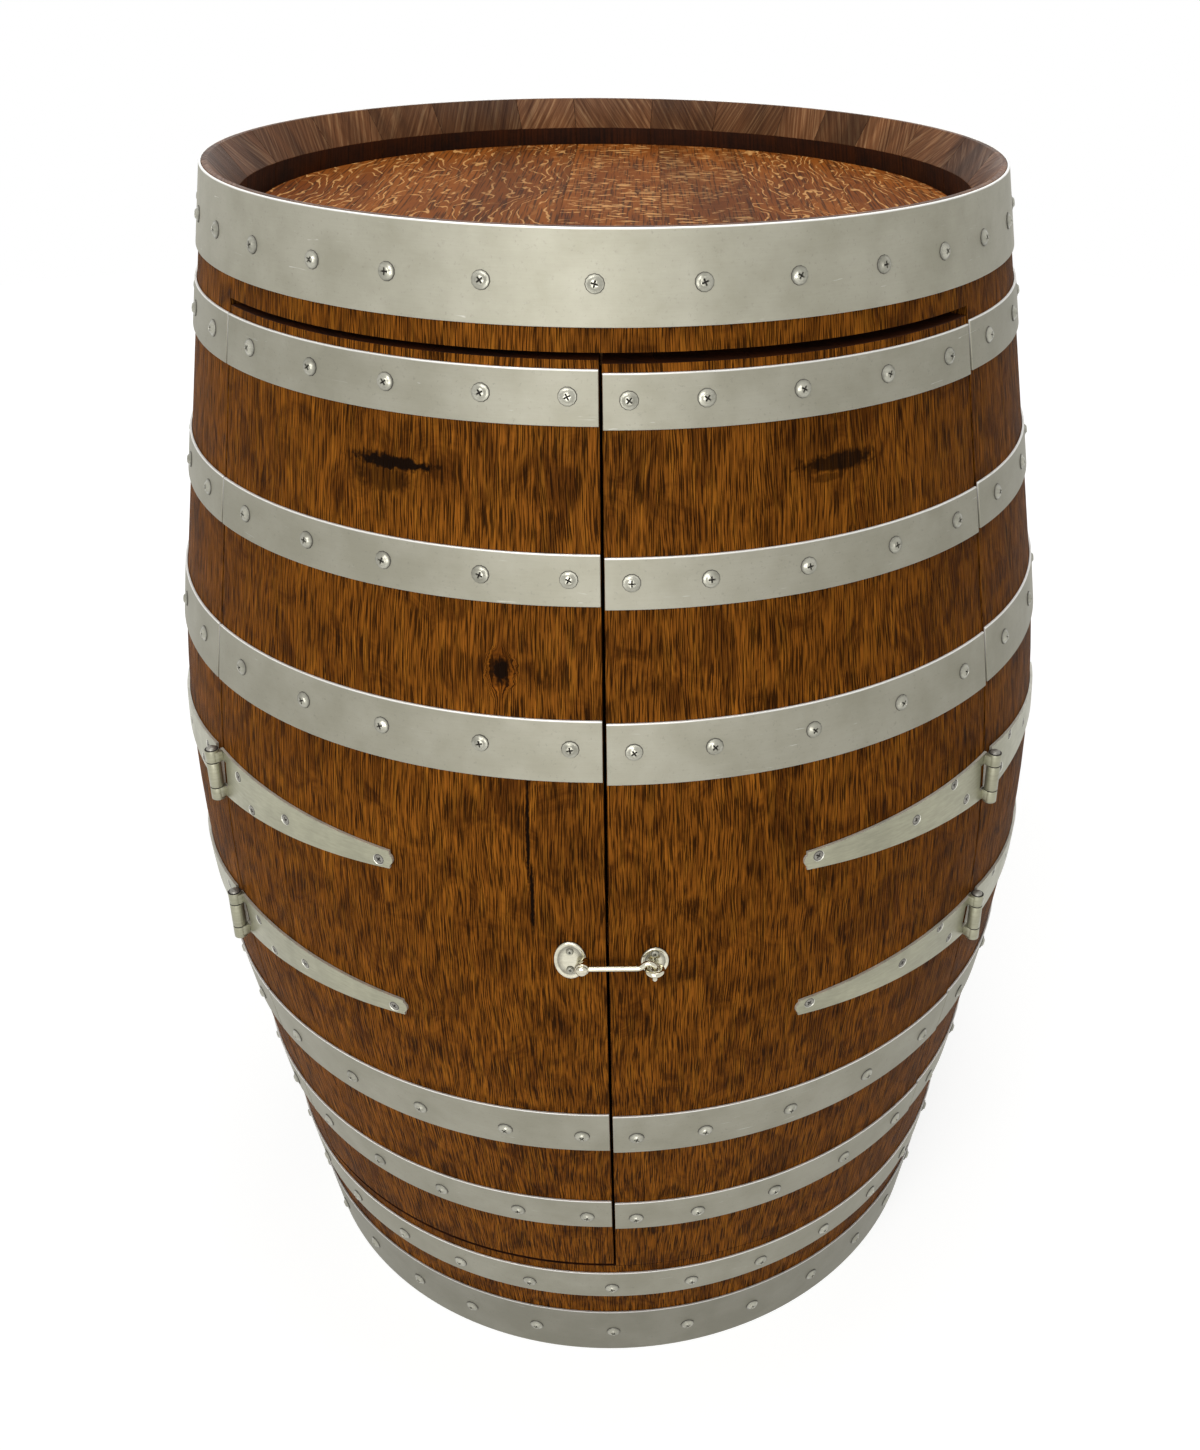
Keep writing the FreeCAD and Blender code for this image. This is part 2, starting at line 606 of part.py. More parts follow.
def seat(bearing, radius, height, tilt, twist=0):
    """Placement of a screw: Z points out of the wall, tilted up by tilt degrees."""
    polar = bearing - 90
    rotation = Rotation(UP, polar) * Rotation(Vector(0, 1, 0), 90 - tilt) * Rotation(UP, twist)
    across = math.radians(polar)
    place = Vector(radius * math.cos(across), radius * math.sin(across), height)
    return Placement(place, rotation)


def copies(name, master, seats):
    """Group of copies of one fastener."""
    solid = master.Shape.Solids[0]
    placed = [solid.transformed(place.toMatrix()) for place in seats]
    return shaped(name, Part.makeCompound(placed))


def holes(name, seats, radius, depth, rise):
    """Group of drills: from rise above each seat to depth below it."""
    drills = []
    for place in seats:
        drill = Part.makeCylinder(radius, depth + rise, Vector(0, 0, -depth))
        drills.append(drill.transformed(place.toMatrix()))
    return shaped(name, Part.makeCompound(drills))


def hoop_seat(hoop, bearing, number, drop=0):
    """Where a hoop's screw sits."""
    tilt = -math.degrees(math.atan(value("Layout.%s_slope" % hoop)))
    height = value("Layout.%s_screw_height" % hoop) - drop
    return seat(bearing, value("Layout.%s_screw_radius" % hoop), height, tilt, number * SCREW_TURN)


# ---------------------------------------------------------------------------------------------
# Staves
# ---------------------------------------------------------------------------------------------

def wall_side(low, high):
    """Points and arcs of the wall between two heights that lie on the lower and upper cones."""
    cone_low = "Layout.cone_height"
    cone_high = "Sizes.barrel_height - Layout.cone_height"
    inner_low = "Layout.middle - Layout.inner_arc_half"
    inner_high = "Layout.middle + Layout.inner_arc_half"
    outside = [(wood_radius(low), low), ("Layout.cone_radius", cone_low),
               ("Layout.cone_radius", cone_high), (wood_radius(high), high)]
    inside = [(inner_radius(high), high), ("Layout.inner_cone_radius", inner_high),
              ("Layout.inner_cone_radius", inner_low), (inner_radius(low), low)]
    return outside, inside


def upper_chime():
    """Chime and croze at the upper end, from outside to inside, down the wall."""
    top = "Sizes.barrel_height"
    return [("Sizes.end_radius - Sizes.chime_land", top),
            ("Layout.chime_radius", "%s - Sizes.chime_depth" % top),
            ("Layout.croze_low_radius", "%s - Layout.croze_low" % top),
            ("Layout.croze_radius", "%s - Layout.croze_low" % top),
            ("Layout.croze_radius", "%s - Layout.croze_high" % top),
            ("Layout.croze_high_radius", "%s - Layout.croze_high" % top)]


def lower_chime():
    """The same at the lower end, from inside to outside, down the wall."""
    return [("Layout.croze_high_radius", "Layout.croze_high"),
            ("Layout.croze_radius", "Layout.croze_high"),
            ("Layout.croze_radius", "Layout.croze_low"),
            ("Layout.croze_low_radius", "Layout.croze_low"),
            ("Layout.chime_radius", "Sizes.chime_depth"),
            ("Sizes.end_radius - Sizes.chime_land", "0")]


def wall_arcs(first_outside, first_inside):
    """The two arcs of a wall outline, by the numbers of their sides."""
    centre = ("Layout.arc_centre", "Layout.middle")
    return {first_outside: centre + ("Layout.arc_radius",),
            first_inside: centre + ("Layout.inner_arc_radius",)}


def stave_outlines():
    """Section of a whole stave, a door stave, a lintel stave and a sill stave."""
    outside, inside = wall_side("0", "Sizes.barrel_height")
    outside[0] = ("Sizes.end_radius", "0")
    outside[3] = ("Sizes.end_radius", "Sizes.barrel_height")
    whole = outside + upper_chime() + inside[1:3] + lower_chime()
    arc_inside = len(outside) + len(upper_chime())
    outside, inside = wall_side("Layout.door_bottom", "Layout.door_top")
    lintel = [(wood_radius("Layout.lintel_bottom"), "Layout.lintel_bottom"),
              ("Sizes.end_radius", "Sizes.barrel_height")]
    lintel += upper_chime() + [(inner_radius("Layout.lintel_bottom"), "Layout.lintel_bottom")]
    sill = [("Sizes.end_radius", "0"), (wood_radius("Sizes.sill_height"), "Sizes.sill_height"),
            (inner_radius("Sizes.sill_height"), "Sizes.sill_height")] + lower_chime()
    return {"whole": sketch_line("stave_outline", whole, wall_arcs(1, arc_inside)),
            "door": sketch_line("door_stave_outline", outside + inside, wall_arcs(1, len(outside) + 1)),
            "lintel": sketch_line("lintel_outline", lintel),
            "sill": sketch_line("sill_outline", sill)}


def drilled_stave(name, outline, edges, seats, drop="0"):
    """Stave between two bearings with the pilot holes that reach it."""
    blank = turned(name + "_blank", outline, *edges, height="-" + drop)
    reach = value("Sizes.screw_length + Sizes.screw_clearance")
    radius = value("Sizes.screw_radius + Sizes.screw_clearance")
    rise = value("Sizes.hoop_thickness * %d" % DRILL_LAYERS)
    pilots = holes(name + "_pilots", seats, radius, reach, rise)
    return cut(name, blank, pilots)


def mid_bearing(edges):
    """Bearing halfway between two edges."""
    return (value(edges[0]) + value(edges[1])) / 2


def joint(group, number):
    """Expression of a joint's bearing."""
    return "Layout.%s_joint_%d" % (group, number)


def body_stave_edges():
    """Edges of the whole staves, by group."""
    return {group: [(joint(group, number), joint(group, number + 1))
                    for number in range(len(STAVES[group]))] for group in BODY_STAVES}


def front_stave_edges():
    """Edges of the staves over and under the doors, from left to right."""
    left = [(joint("left_door", number), joint("left_door", number - 1))
            for number in range(len(STAVES["left_door"]), 1, -1)]
    right = [(joint("right_door", number - 1), joint("right_door", number))
             for number in range(2, len(STAVES["right_door"]) + 1)]
    return left + [(joint("left_door", 1), joint("right_door", 1))] + right


def door_stave_edges(side):
    """Edges of a door's staves from the gap outwards, and of its screws' staves."""
    last = len(STAVES[side])
    inner = [joint(side, number) for number in range(last)]
    outer = [joint(side, number) for number in range(1, last + 1)]
    cut_inner = ["Layout.half_centre_kerf"] + inner[1:]
    cut_outer = outer[:-1] + ["Layout.%s_edge" % side]
    if side == "left_door":
        cut_inner[0] = "-" + cut_inner[0]
        return list(zip(cut_outer, cut_inner)), list(zip(outer, inner))
    return list(zip(cut_inner, cut_outer)), list(zip(inner, outer))


# ---------------------------------------------------------------------------------------------
# Heads
# ---------------------------------------------------------------------------------------------

def heads():
    """Two round heads of straight boards that run from front to back."""
    disc = sketch_line("head_outline", (
        ("0", "0"), ("Layout.head_radius - Sizes.head_bevel_width", "0"),
        ("Layout.head_radius", "Layout.tongue_low"), ("Layout.rim_radius", "Layout.tongue_low"),
        ("Layout.rim_radius", "Layout.tongue_high"), ("Layout.head_radius", "Layout.tongue_high"),
        ("Layout.head_radius - Sizes.head_bevel_width", "Sizes.head_thickness"),
        ("0", "Sizes.head_thickness")))
    round_head = turned("head_disc", disc, "0", "360")
    total = " + ".join("Sizes.head_board_%d" % (number + 1) for number in range(len(HEAD_BOARDS)))
    boards = []
    for number in range(1, len(HEAD_BOARDS) + 1):
        before = " + ".join(["0"] + ["Sizes.head_board_%d" % other for other in range(1, number)])
        scale = "2 * Layout.rim_radius / (%s)" % total
        blank = doc.addObject("Part::Box", "head_board_%d_blank" % number)
        blank.setExpression("Length", "Sizes.head_board_%d * %s" % (number, scale))
        blank.setExpression("Width", "2 * Layout.rim_radius")
        blank.setExpression("Height", "Sizes.head_thickness")
        blank.setExpression("Placement.Base.x", "(%s) * %s - Layout.rim_radius" % (before, scale))
        blank.setExpression("Placement.Base.y", "-Layout.rim_radius")
        boards.append(common("head_board_%d" % number, round_head, blank))
    for label, height in (("top_head", "Layout.head_bottom"), ("bottom_head", "Sizes.head_setback")):
        head = sub_part(grouped(label, boards), label)
        head.setExpression("Placement.Base.z", height)


# ---------------------------------------------------------------------------------------------
# Hoops
# ---------------------------------------------------------------------------------------------

def hoop_section(name, layers):
    """Section of a band, layers thick."""
    low = "Layout.%s_low" % name
    high = "Layout.%s_high" % name
    across = "%d * Layout.%s_across" % (layers, name)
    return sketch_line("%s_section_%d" % (name, layers), (
        (low + "_radius", low), ("%s_radius + %s" % (low, across), low),
        ("%s_radius + %s" % (high, across), high), (high + "_radius", high)))


def rivet_seats(name, bearing):
    """Seats of a lap's rivets, on the outside of the outer layer."""
    half = math.degrees(value("Sizes.rivet_spacing / Sizes.bilge_radius") / 2)
    tilt = -math.degrees(math.atan(value("Layout.%s_slope" % name)))
    middle = value("(Layout.{0}_low + Layout.{0}_high) / 2".format(name))
    radius = value("(Layout.{0}_low_radius + Layout.{0}_high_radius) / 2 + 2 * Layout.{0}_across"
                   .format(name))
    return [seat(bearing + side * half, radius, middle, tilt) for side in (-1, 1)]


def drilled_hoop(name, blank, screw_seats, rivets=()):
    """Hoop with clearance holes for its screws and rivets."""
    radius = value("Sizes.screw_radius + Sizes.screw_clearance")
    through = value("Sizes.hoop_thickness * %d" % DRILL_LAYERS)
    tools = holes(name + "_holes", screw_seats, radius, through, through)
    if rivets:
        rivet_radius = value("Sizes.rivet_radius + Sizes.rivet_clearance")
        rivet_holes = holes(name + "_rivet_holes", rivets, rivet_radius, through, through)
        tools = grouped(name + "_all_holes", [tools, rivet_holes])
    return cut(name + "_drilled", blank, tools)


def lapped_hoop(name, edges, lap_bearing, screw_seats, rivets):
    """Ring or long segment with its riveted lap."""
    band = turned(name + "_band", hoop_section(name, 1), *edges)
    half = "Sizes.hoop_lap / Sizes.bilge_radius * 90 / pi"
    lap = turned(name + "_lap", hoop_section(name, 2), "%s - %s" % (lap_bearing, half),
                 "%s + %s" % (lap_bearing, half))
    return drilled_hoop(name, fused(name + "_blank", [band, lap]), screw_seats, rivets)


def hoops_and_staves():
    """Staves, hoops and screws of the body; returns outlines, screw and the last screw's number."""
    outlines = stave_outlines()
    screw = hoop_screw()
    rivet = hoop_rivet()
    doc.recompute()
    body_edges = body_stave_edges()
    front_edges = front_stave_edges()
    all_body = [edges for group in BODY_STAVES for edges in body_edges[group]]
    number = 0
    body_seats = {name: [] for name in HOOP_SIZES}
    stave_nodes = []
    for group in BODY_STAVES:
        staves = []
        for order, edges in enumerate(body_edges[group], 1):
            seats = []
            for name in HOOP_SIZES:
                number += 1
                seats.append(hoop_seat(name, mid_bearing(edges), number))
                body_seats[name].append(seats[-1])
            stave = drilled_stave("%s_stave_%d" % (group, order), outlines["whole"], edges, seats)
            staves.append(stave)
        stave_nodes.append((group + "_staves", staves))
    for place, hoop_names in (("lintel", ("top_head_hoop",)),
                              ("sill", ("lower_collar_hoop", "bottom_head_hoop"))):
        staves = []
        for order, edges in enumerate(front_edges, 1):
            seats = []
            for name in hoop_names:
                number += 1
                seats.append(hoop_seat(name, mid_bearing(edges), number))
                body_seats[name].append(seats[-1])
            staves.append(drilled_stave("%s_stave_%d" % (place, order), outlines[place], edges, seats))
        stave_nodes.append((place + "_staves", staves))
    for label, staves in stave_nodes:
        sub_part(grouped(label, staves), label)
    body_hoops(body_seats, all_body, rivet)
    every = [place for name in HOOP_SIZES for place in body_seats[name]]
    sub_part(copies("hoop_screws", screw, every), "hoop_screws")
    return outlines, screw, number


def body_hoops(body_seats, all_body, rivet):
    """Rings and rear segments with their laps at the back, staggered from hoop to hoop."""
    places = len(STAVES["back"]) - FIRST_LAP
    rivets = []
    for order, name in enumerate(HOOP_SIZES):
        lap_bearing = joint("back", FIRST_LAP + order % places)
        lap = rivet_seats(name, value(lap_bearing))
        rivets += lap
        if name in RING_HOOPS:
            edges = ("0", "360")
            label = name
        else:
            edges = (all_body[0][0] + " + Layout.hoop_inset", all_body[-1][1] + " - Layout.hoop_inset")
            label = name + "_rear"
        hoop = lapped_hoop(name, edges, lap_bearing, body_seats[name], lap)
        sub_part(hoop, label)
    sub_part(copies("hoop_rivets", rivet, rivets), "hoop_rivets")


# ---------------------------------------------------------------------------------------------
# Inside: shelf, cleats and stop rails
# ---------------------------------------------------------------------------------------------

def shelf_and_cleats():
    """Round shelf on cleats along the whole staves."""
    sub_part(rod("shelf", "Layout.shelf_radius", "Sizes.shelf_thickness", z="Sizes.shelf_height"),
             "shelf")
    section = sketch_line("cleat_section", (
        ("Layout.cleat_radius", "Layout.cleat_low"), ("Layout.cleat_radius", "Sizes.shelf_height"),
        ("Layout.cleat_radius - Sizes.cleat_thickness", "Sizes.shelf_height"),
        ("Layout.cleat_radius - Sizes.cleat_thickness", "Layout.cleat_low")))
    first = joint("right_side", 0)
    share = "(%s - %s) / %d" % (joint("left_side", len(STAVES["left_side"])), first, CLEATS)
    cleats = []
    for number in range(CLEATS):
        middle = "%s + %s * %.1f" % (first, share, number + 0.5)
        cleats.append(turned("cleat_%d" % (number + 1), section, middle + " - Sizes.cleat_span / 2",
                             middle + " + Sizes.cleat_span / 2"))
    sub_part(grouped("shelf_cleats", cleats), "shelf_cleats")


def stop_rail(label, low, high):
    """Curved rail behind the doors' ends, in short pieces."""
    def edge(height, depth):
        return "%s - Sizes.rail_gap - %s" % (inner_radius(height), depth)

    section = sketch_line(label + "_section", (
        (edge(low, "0"), low), (edge(high, "0"), high),
        (edge(high, "Sizes.rail_thickness"), high), (edge(low, "Sizes.rail_thickness"), low)))
    first = joint("left_door", len(STAVES["left_door"]))
    share = "(%s - %s) / %d" % (joint("right_door", len(STAVES["right_door"])), first, RAIL_PIECES)
    pieces = [turned("%s_%d" % (label, number + 1), section, "%s + %s * %d" % (first, share, number),
                     "%s + %s * %d" % (first, share, number + 1)) for number in range(RAIL_PIECES)]
    sub_part(grouped(label, pieces), label)


# ---------------------------------------------------------------------------------------------
# Hinges: modelled facing the front with heights counted from mid height, then turned into place
# ---------------------------------------------------------------------------------------------

def strap_surface(height, extra):
    """Radius of a strap's surface at a height over mid height."""
    return "Layout.arc_centre + sqrt((Layout.strap_arc + %s)^2 - (%s)^2)" % (extra, height)


def blade_outline(name, side, middle, slotted):
    """Flat outline of a blade: root at one end, taper, shoulders and a round nose.

    side is 1 where the blade runs towards +X from its knuckles. slotted tells whether the slot is
    beside the middle knuckle (a door strap) or beside the outer two (a frame leaf).
    """
    def at(along, up):
        return ("%d * (%s - Layout.strap_half_span)" % (side, along), "%s + %s" % (middle, up))

    root = "Sizes.strap_root_width / 2"
    tip = "Sizes.strap_tip_width / 2"
    radius, rise = "Sizes.strap_nose_radius", "Sizes.strap_nose_rise"
    nose = "sqrt(2 * %s * %s - %s^2)" % (radius, rise, rise)
    centre = "2 * Layout.strap_half_span - " + radius
    shoulder = "2 * Layout.strap_half_span - " + rise
    upper = [at(shoulder, tip), at(shoulder, nose)]
    lower = [at(shoulder, "-" + nose), at(shoulder, "-" + tip)]
    slot = "Sizes.strap_slot"
    if slotted:
        start = [at("0", "Layout.end_knuckle"), at("0", root)]
        finish = [at("0", "-" + root), at("0", "-Layout.end_knuckle"),
                  at(slot, "-Layout.end_knuckle"), at(slot, "Layout.end_knuckle")]
    else:
        tongue = "Layout.half_middle_knuckle"
        start = [at("0", tongue), at(slot, tongue), at(slot, root)]
        finish = [at(slot, "-" + root), at(slot, "-" + tongue), at("0", "-" + tongue)]
    points = start + upper + lower + finish
    nose_side = len(start) + len(upper) - 1
    return sketch_line(name, points, {nose_side: at(centre, "0") + (radius,)})


def hinge_half(name, side, middle, slotted):
    """One strap or frame leaf, with its knuckles and bore, around the front."""
    reach = "(Sizes.strap_root_width / 2 + Sizes.strap_thickness)"
    low = "%s - %s" % (middle, reach)
    high = "%s + %s" % (middle, reach)
    thick = "Sizes.strap_thickness"
    outer = ("Layout.arc_centre", "0", "Layout.strap_arc + " + thick)
    inner = ("Layout.arc_centre", "0", "Layout.strap_arc")
    section = sketch_line(name + "_section", (
        (strap_surface(low, "0"), low), (strap_surface(low, thick), low),
        (strap_surface(high, thick), high), (strap_surface(high, "0"), high)), {1: outer, 3: inner})
    half = "Layout.strap_angle / 2"
    band = turned(name + "_band", section, "-" + half, half)
    outline = blade_outline(name + "_outline", side, middle, slotted)
    prism = doc.addObject("Part::Extrusion", name + "_prism")
    prism.Base = outline
    prism.DirMode = "Custom"
    prism.Dir = Vector(0, -1, 0)
    prism.setExpression("LengthFwd", "Layout.axis_radius")
    prism.Solid = True
    blade = common(name + "_blade", band, prism)
    if slotted:
        spans = (("-Layout.half_knuckles", "-Layout.end_knuckle"),
                 ("Layout.end_knuckle", "Layout.half_knuckles"))
        webs = (("-Sizes.strap_root_width / 2", "-Layout.end_knuckle"),
                ("Layout.end_knuckle", "Sizes.strap_root_width / 2"))
    else:
        spans = (("-Layout.half_middle_knuckle", "Layout.half_middle_knuckle"),)
        webs = spans
    pieces = [blade]
    axis = "%d * %s" % (-side, half)
    x = "Layout.axis_radius * sin(%s)" % axis
    y = "-Layout.axis_radius * cos(%s)" % axis
    for number, (bottom, top) in enumerate(spans, 1):
        pieces.append(rod("%s_knuckle_%d" % (name, number), "Sizes.knuckle_radius",
                          "%s - (%s)" % (top, bottom), x, y, "%s + %s" % (middle, bottom)))
    for number, (bottom, top) in enumerate(webs, 1):
        bottom = "%s + %s" % (middle, bottom)
        top = "%s + %s" % (middle, top)
        web = sketch_line("%s_web_%d_section" % (name, number), (
            (strap_surface(bottom, thick + " / 2"), bottom), ("Layout.axis_radius", bottom),
            ("Layout.axis_radius", top), (strap_surface(top, thick + " / 2"), top)))
        ends = [axis, "%s + %d * Layout.web_angle" % (axis, side)]
        ends = ends if side > 0 else ends[::-1]
        pieces.append(turned("%s_web_%d" % (name, number), web, *ends))
    bore = rod(name + "_bore", "Sizes.pin_radius + Sizes.pin_clearance", "2 * Sizes.knuckle_height",
               x, y, "%s - Sizes.knuckle_height" % middle)
    bored = cut(name + "_bored", fused(name + "_solid", pieces), bore)
    doc.recompute()
    seats = strap_seats(side, value(middle))
    return cut(name, bored, countersinks(name + "_screw_holes", seats)), seats


def strap_seats(side, middle):
    """Seats of a strap's screws, on its outer surface."""
    seats = []
    outer = value("Layout.strap_arc + Sizes.strap_thickness")
    for number in range(1, len(STRAP_SCREWS) + 1):
        reach = value("Sizes.strap_screw_%d_reach" % number)
        height = middle + value("Sizes.strap_screw_%d_rise" % number)
        along = math.degrees(reach / value("Layout.strap_radius")) - value("Layout.strap_angle") / 2
        tilt = math.degrees(math.asin(height / outer))
        radius = value("Layout.arc_centre") + outer * math.cos(math.radians(tilt))
        seats.append(seat(side * along, radius, height, tilt, number * SCREW_TURN))
    return seats


def countersinks(name, seats):
    """Countersunk clearance holes through a strap."""
    head = value("Sizes.strap_screw_head_radius + Sizes.screw_clearance")
    shank = value("Sizes.strap_screw_radius + Sizes.screw_clearance")
    depth = value("Sizes.strap_screw_head_height")
    above = value("Sizes.strap_thickness")
    tools = []
    for place in seats:
        cone = Part.makeCone(shank, head, depth, Vector(0, 0, -depth))
        drill = Part.makeCylinder(shank, depth + 2 * above, Vector(0, 0, -depth - above))
        mouth = Part.makeCylinder(head, above)
        tools.append(cone.fuse([drill, mouth]).transformed(place.toMatrix()))
    return shaped(name, Part.makeCompound(tools))


def hinges():
    """Four strap hinges; returns the seats of the screws in each door and in the body."""
    halves = {}
    for name, side, slotted in (("strap", 1, True), ("leaf", -1, False)):
        for level, middle in (("upper", "Sizes.hinge_offset"), ("lower", "-Sizes.hinge_offset")):
            halves[name, level] = hinge_half("%s_%s" % (level, name), side, middle, slotted)
    other = {"upper": "lower", "lower": "upper"}
    seats = {"left_door": [], "right_door": [], "body": []}
    half = "Layout.strap_angle / 2"
    for door, hand in (("left", 1), ("right", -1)):
        for level in ("upper", "lower"):
            for kind, label, body in (("strap", "%s_%s_strap" % (door, level), door + "_door"),
                                      ("leaf", "%s_%s_frame_leaf" % (door, level), "body")):
                side = hand if kind == "strap" else -hand
                made, local = halves[kind, level if hand > 0 else other[level]]
                placed = sub_part(grouped(label, [made]), label)
                bearing = "Layout.%s_hinge + %d * %s" % (door, side, half)
                placed.setExpression("Placement", turn_about(bearing, "Layout.middle", hand < 0))
                doc.recompute()
                seats[body] += [placed.Placement.multiply(place) for place in local]
    screw = strap_screw()
    doc.recompute()
    sub_part(copies("frame_leaf_screws", screw, seats["body"]), "frame_leaf_screws")
    sub_part(copies("left_strap_screws", screw, seats["left_door"]), "left_strap_screws")
    sub_part(copies("right_strap_screws", screw, seats["right_door"]), "right_strap_screws")
    hinge_pins()
    return seats


def hinge_pins():
    """A pin with domed ends down the middle of each hinge."""
    shank = "Sizes.pin_radius"
    head = "Sizes.pin_head_radius"
    end = "Layout.half_knuckles + Sizes.pin_clearance"
    crown = "%s + Sizes.pin_head_height" % end
    pin = screw_profile("hinge_pin", (
        ("0", "-(%s)" % crown), (shank, "-(%s)" % crown), (head, "-(%s)" % end), (shank, "-(%s)" % end),
        (shank, end), (head, end), (shank, crown), ("0", crown)))
    pins = []
    for door in ("left", "right"):
        for sign in ("+", "-"):
            placed = grouped("%s_pin_%d" % (door, len(pins) + 1), [pin])
            bearing = "Layout.%s_hinge" % door
            placed.setExpression("Placement.Base.x", "Layout.axis_radius * sin(%s)" % bearing)
            placed.setExpression("Placement.Base.y", "-Layout.axis_radius * cos(%s)" % bearing)
            placed.setExpression("Placement.Base.z", "Layout.middle %s Sizes.hinge_offset" % sign)
            pins.append(placed)
    sub_part(grouped("hinge_pins", pins), "hinge_pins")


# ---------------------------------------------------------------------------------------------
# Latch
# ---------------------------------------------------------------------------------------------

def plate_seats(bearing, height, offset):
    """Seats of the two screws of a latch plate."""
    outside = value("Layout.plate_radius + Sizes.latch_plate_thickness")
    return [seat(value(bearing), outside, value(height) + side * value(offset), 0, PLATE_SCREW_TURN)
            for side in (1, -1)]


def latch_plate(name, size, bearing, height, seats):
    """Oval plate that lies flat on the wall, with its screw holes; size starts the names of its sizes."""
    oval = doc.addObject("Part::Ellipse", name + "_oval")
    oval.setExpression("MajorRadius", "Sizes.%s_height / 2" % size)
    oval.setExpression("MinorRadius", "Sizes.%s_width / 2" % size)
    disc = doc.addObject("Part::Extrusion", name + "_disc")
    disc.Base = oval
    disc.DirMode = "Custom"
    disc.Dir = UP
    disc.setExpression("LengthFwd", "Sizes.latch_plate_thickness")
    disc.Solid = True
    turn = ("rotation(vector(0; 0; 1); %s) * rotation(vector(1; 0; 0); 90)"
            " * rotation(vector(0; 0; 1); 90)" % bearing)
    place = "vector(Layout.plate_radius * sin({0}); -Layout.plate_radius * cos({0}); {1})"
    disc.setExpression("Placement", "placement(%s; %s)" % (place.format(bearing, height), turn))
    drill = value("Sizes.plate_screw_radius + Sizes.screw_clearance")
    through = value("2 * Sizes.latch_plate_thickness")
    return cut(name + "_drilled", disc, holes(name + "_holes", seats, drill, through, through))


def hook_plate(seats):
    """Left plate with the stud that the hook turns on."""
    plate = latch_plate("hook_plate", "hook_plate", "Layout.hook_plate_bearing",
                        "Layout.pivot_height", seats)
    front = Vector(0, -1, 0)
    at = ("Sizes.pivot_x", "Layout.pivot_height")
    inside = "Sizes.hook_ring_thickness / 2 + Sizes.pivot_clearance"
    foot = "-(Layout.plate_radius + Sizes.latch_plate_thickness / 2)"
    boss = rod("pivot_boss", "Sizes.pivot_boss_radius", "%s - Layout.hook_y - (%s)" % (foot, inside),
               at[0], foot, at[1], front)
    stud = rod("pivot_stud", "Sizes.pivot_radius", "%s - Layout.hook_y + %s" % (foot, inside),
               at[0], foot, at[1], front)
    head = rod("pivot_head", "Sizes.pivot_boss_radius", "Sizes.pivot_head_height",
               at[0], "Layout.hook_y - (%s)" % inside, at[1], front)
    sub_part(fused("hook_plate", [plate, boss, stud, head]), "hook_plate")


def eye_plate(seats):
    """Right plate with the ring that the hook drops into."""
    plate = latch_plate("eye_plate", "eye_plate", "Layout.eye_bearing",
                        "Layout.eye_height", seats)
    ring = doc.addObject("Part::Torus", "eye_ring")
    ring.setExpression("Radius1", "Sizes.eye_ring_radius")
    ring.setExpression("Radius2", "Sizes.eye_wire_radius")
    ring.setExpression("Placement.Base.x", "Sizes.eye_x")
    ring.setExpression("Placement.Base.y", "Layout.hook_y")
    ring.setExpression("Placement.Base.z", "Layout.eye_height")
    foot = "-Layout.plate_radius * cos(Layout.eye_bearing)"
    neck = rod("eye_neck", "Sizes.eye_wire_radius",
               "%s - Layout.hook_y - Sizes.eye_ring_radius" % foot, "Sizes.eye_x", foot,
               "Layout.eye_height", Vector(0, -1, 0))
    sub_part(fused("eye_plate", [plate, ring, neck]), "eye_plate")


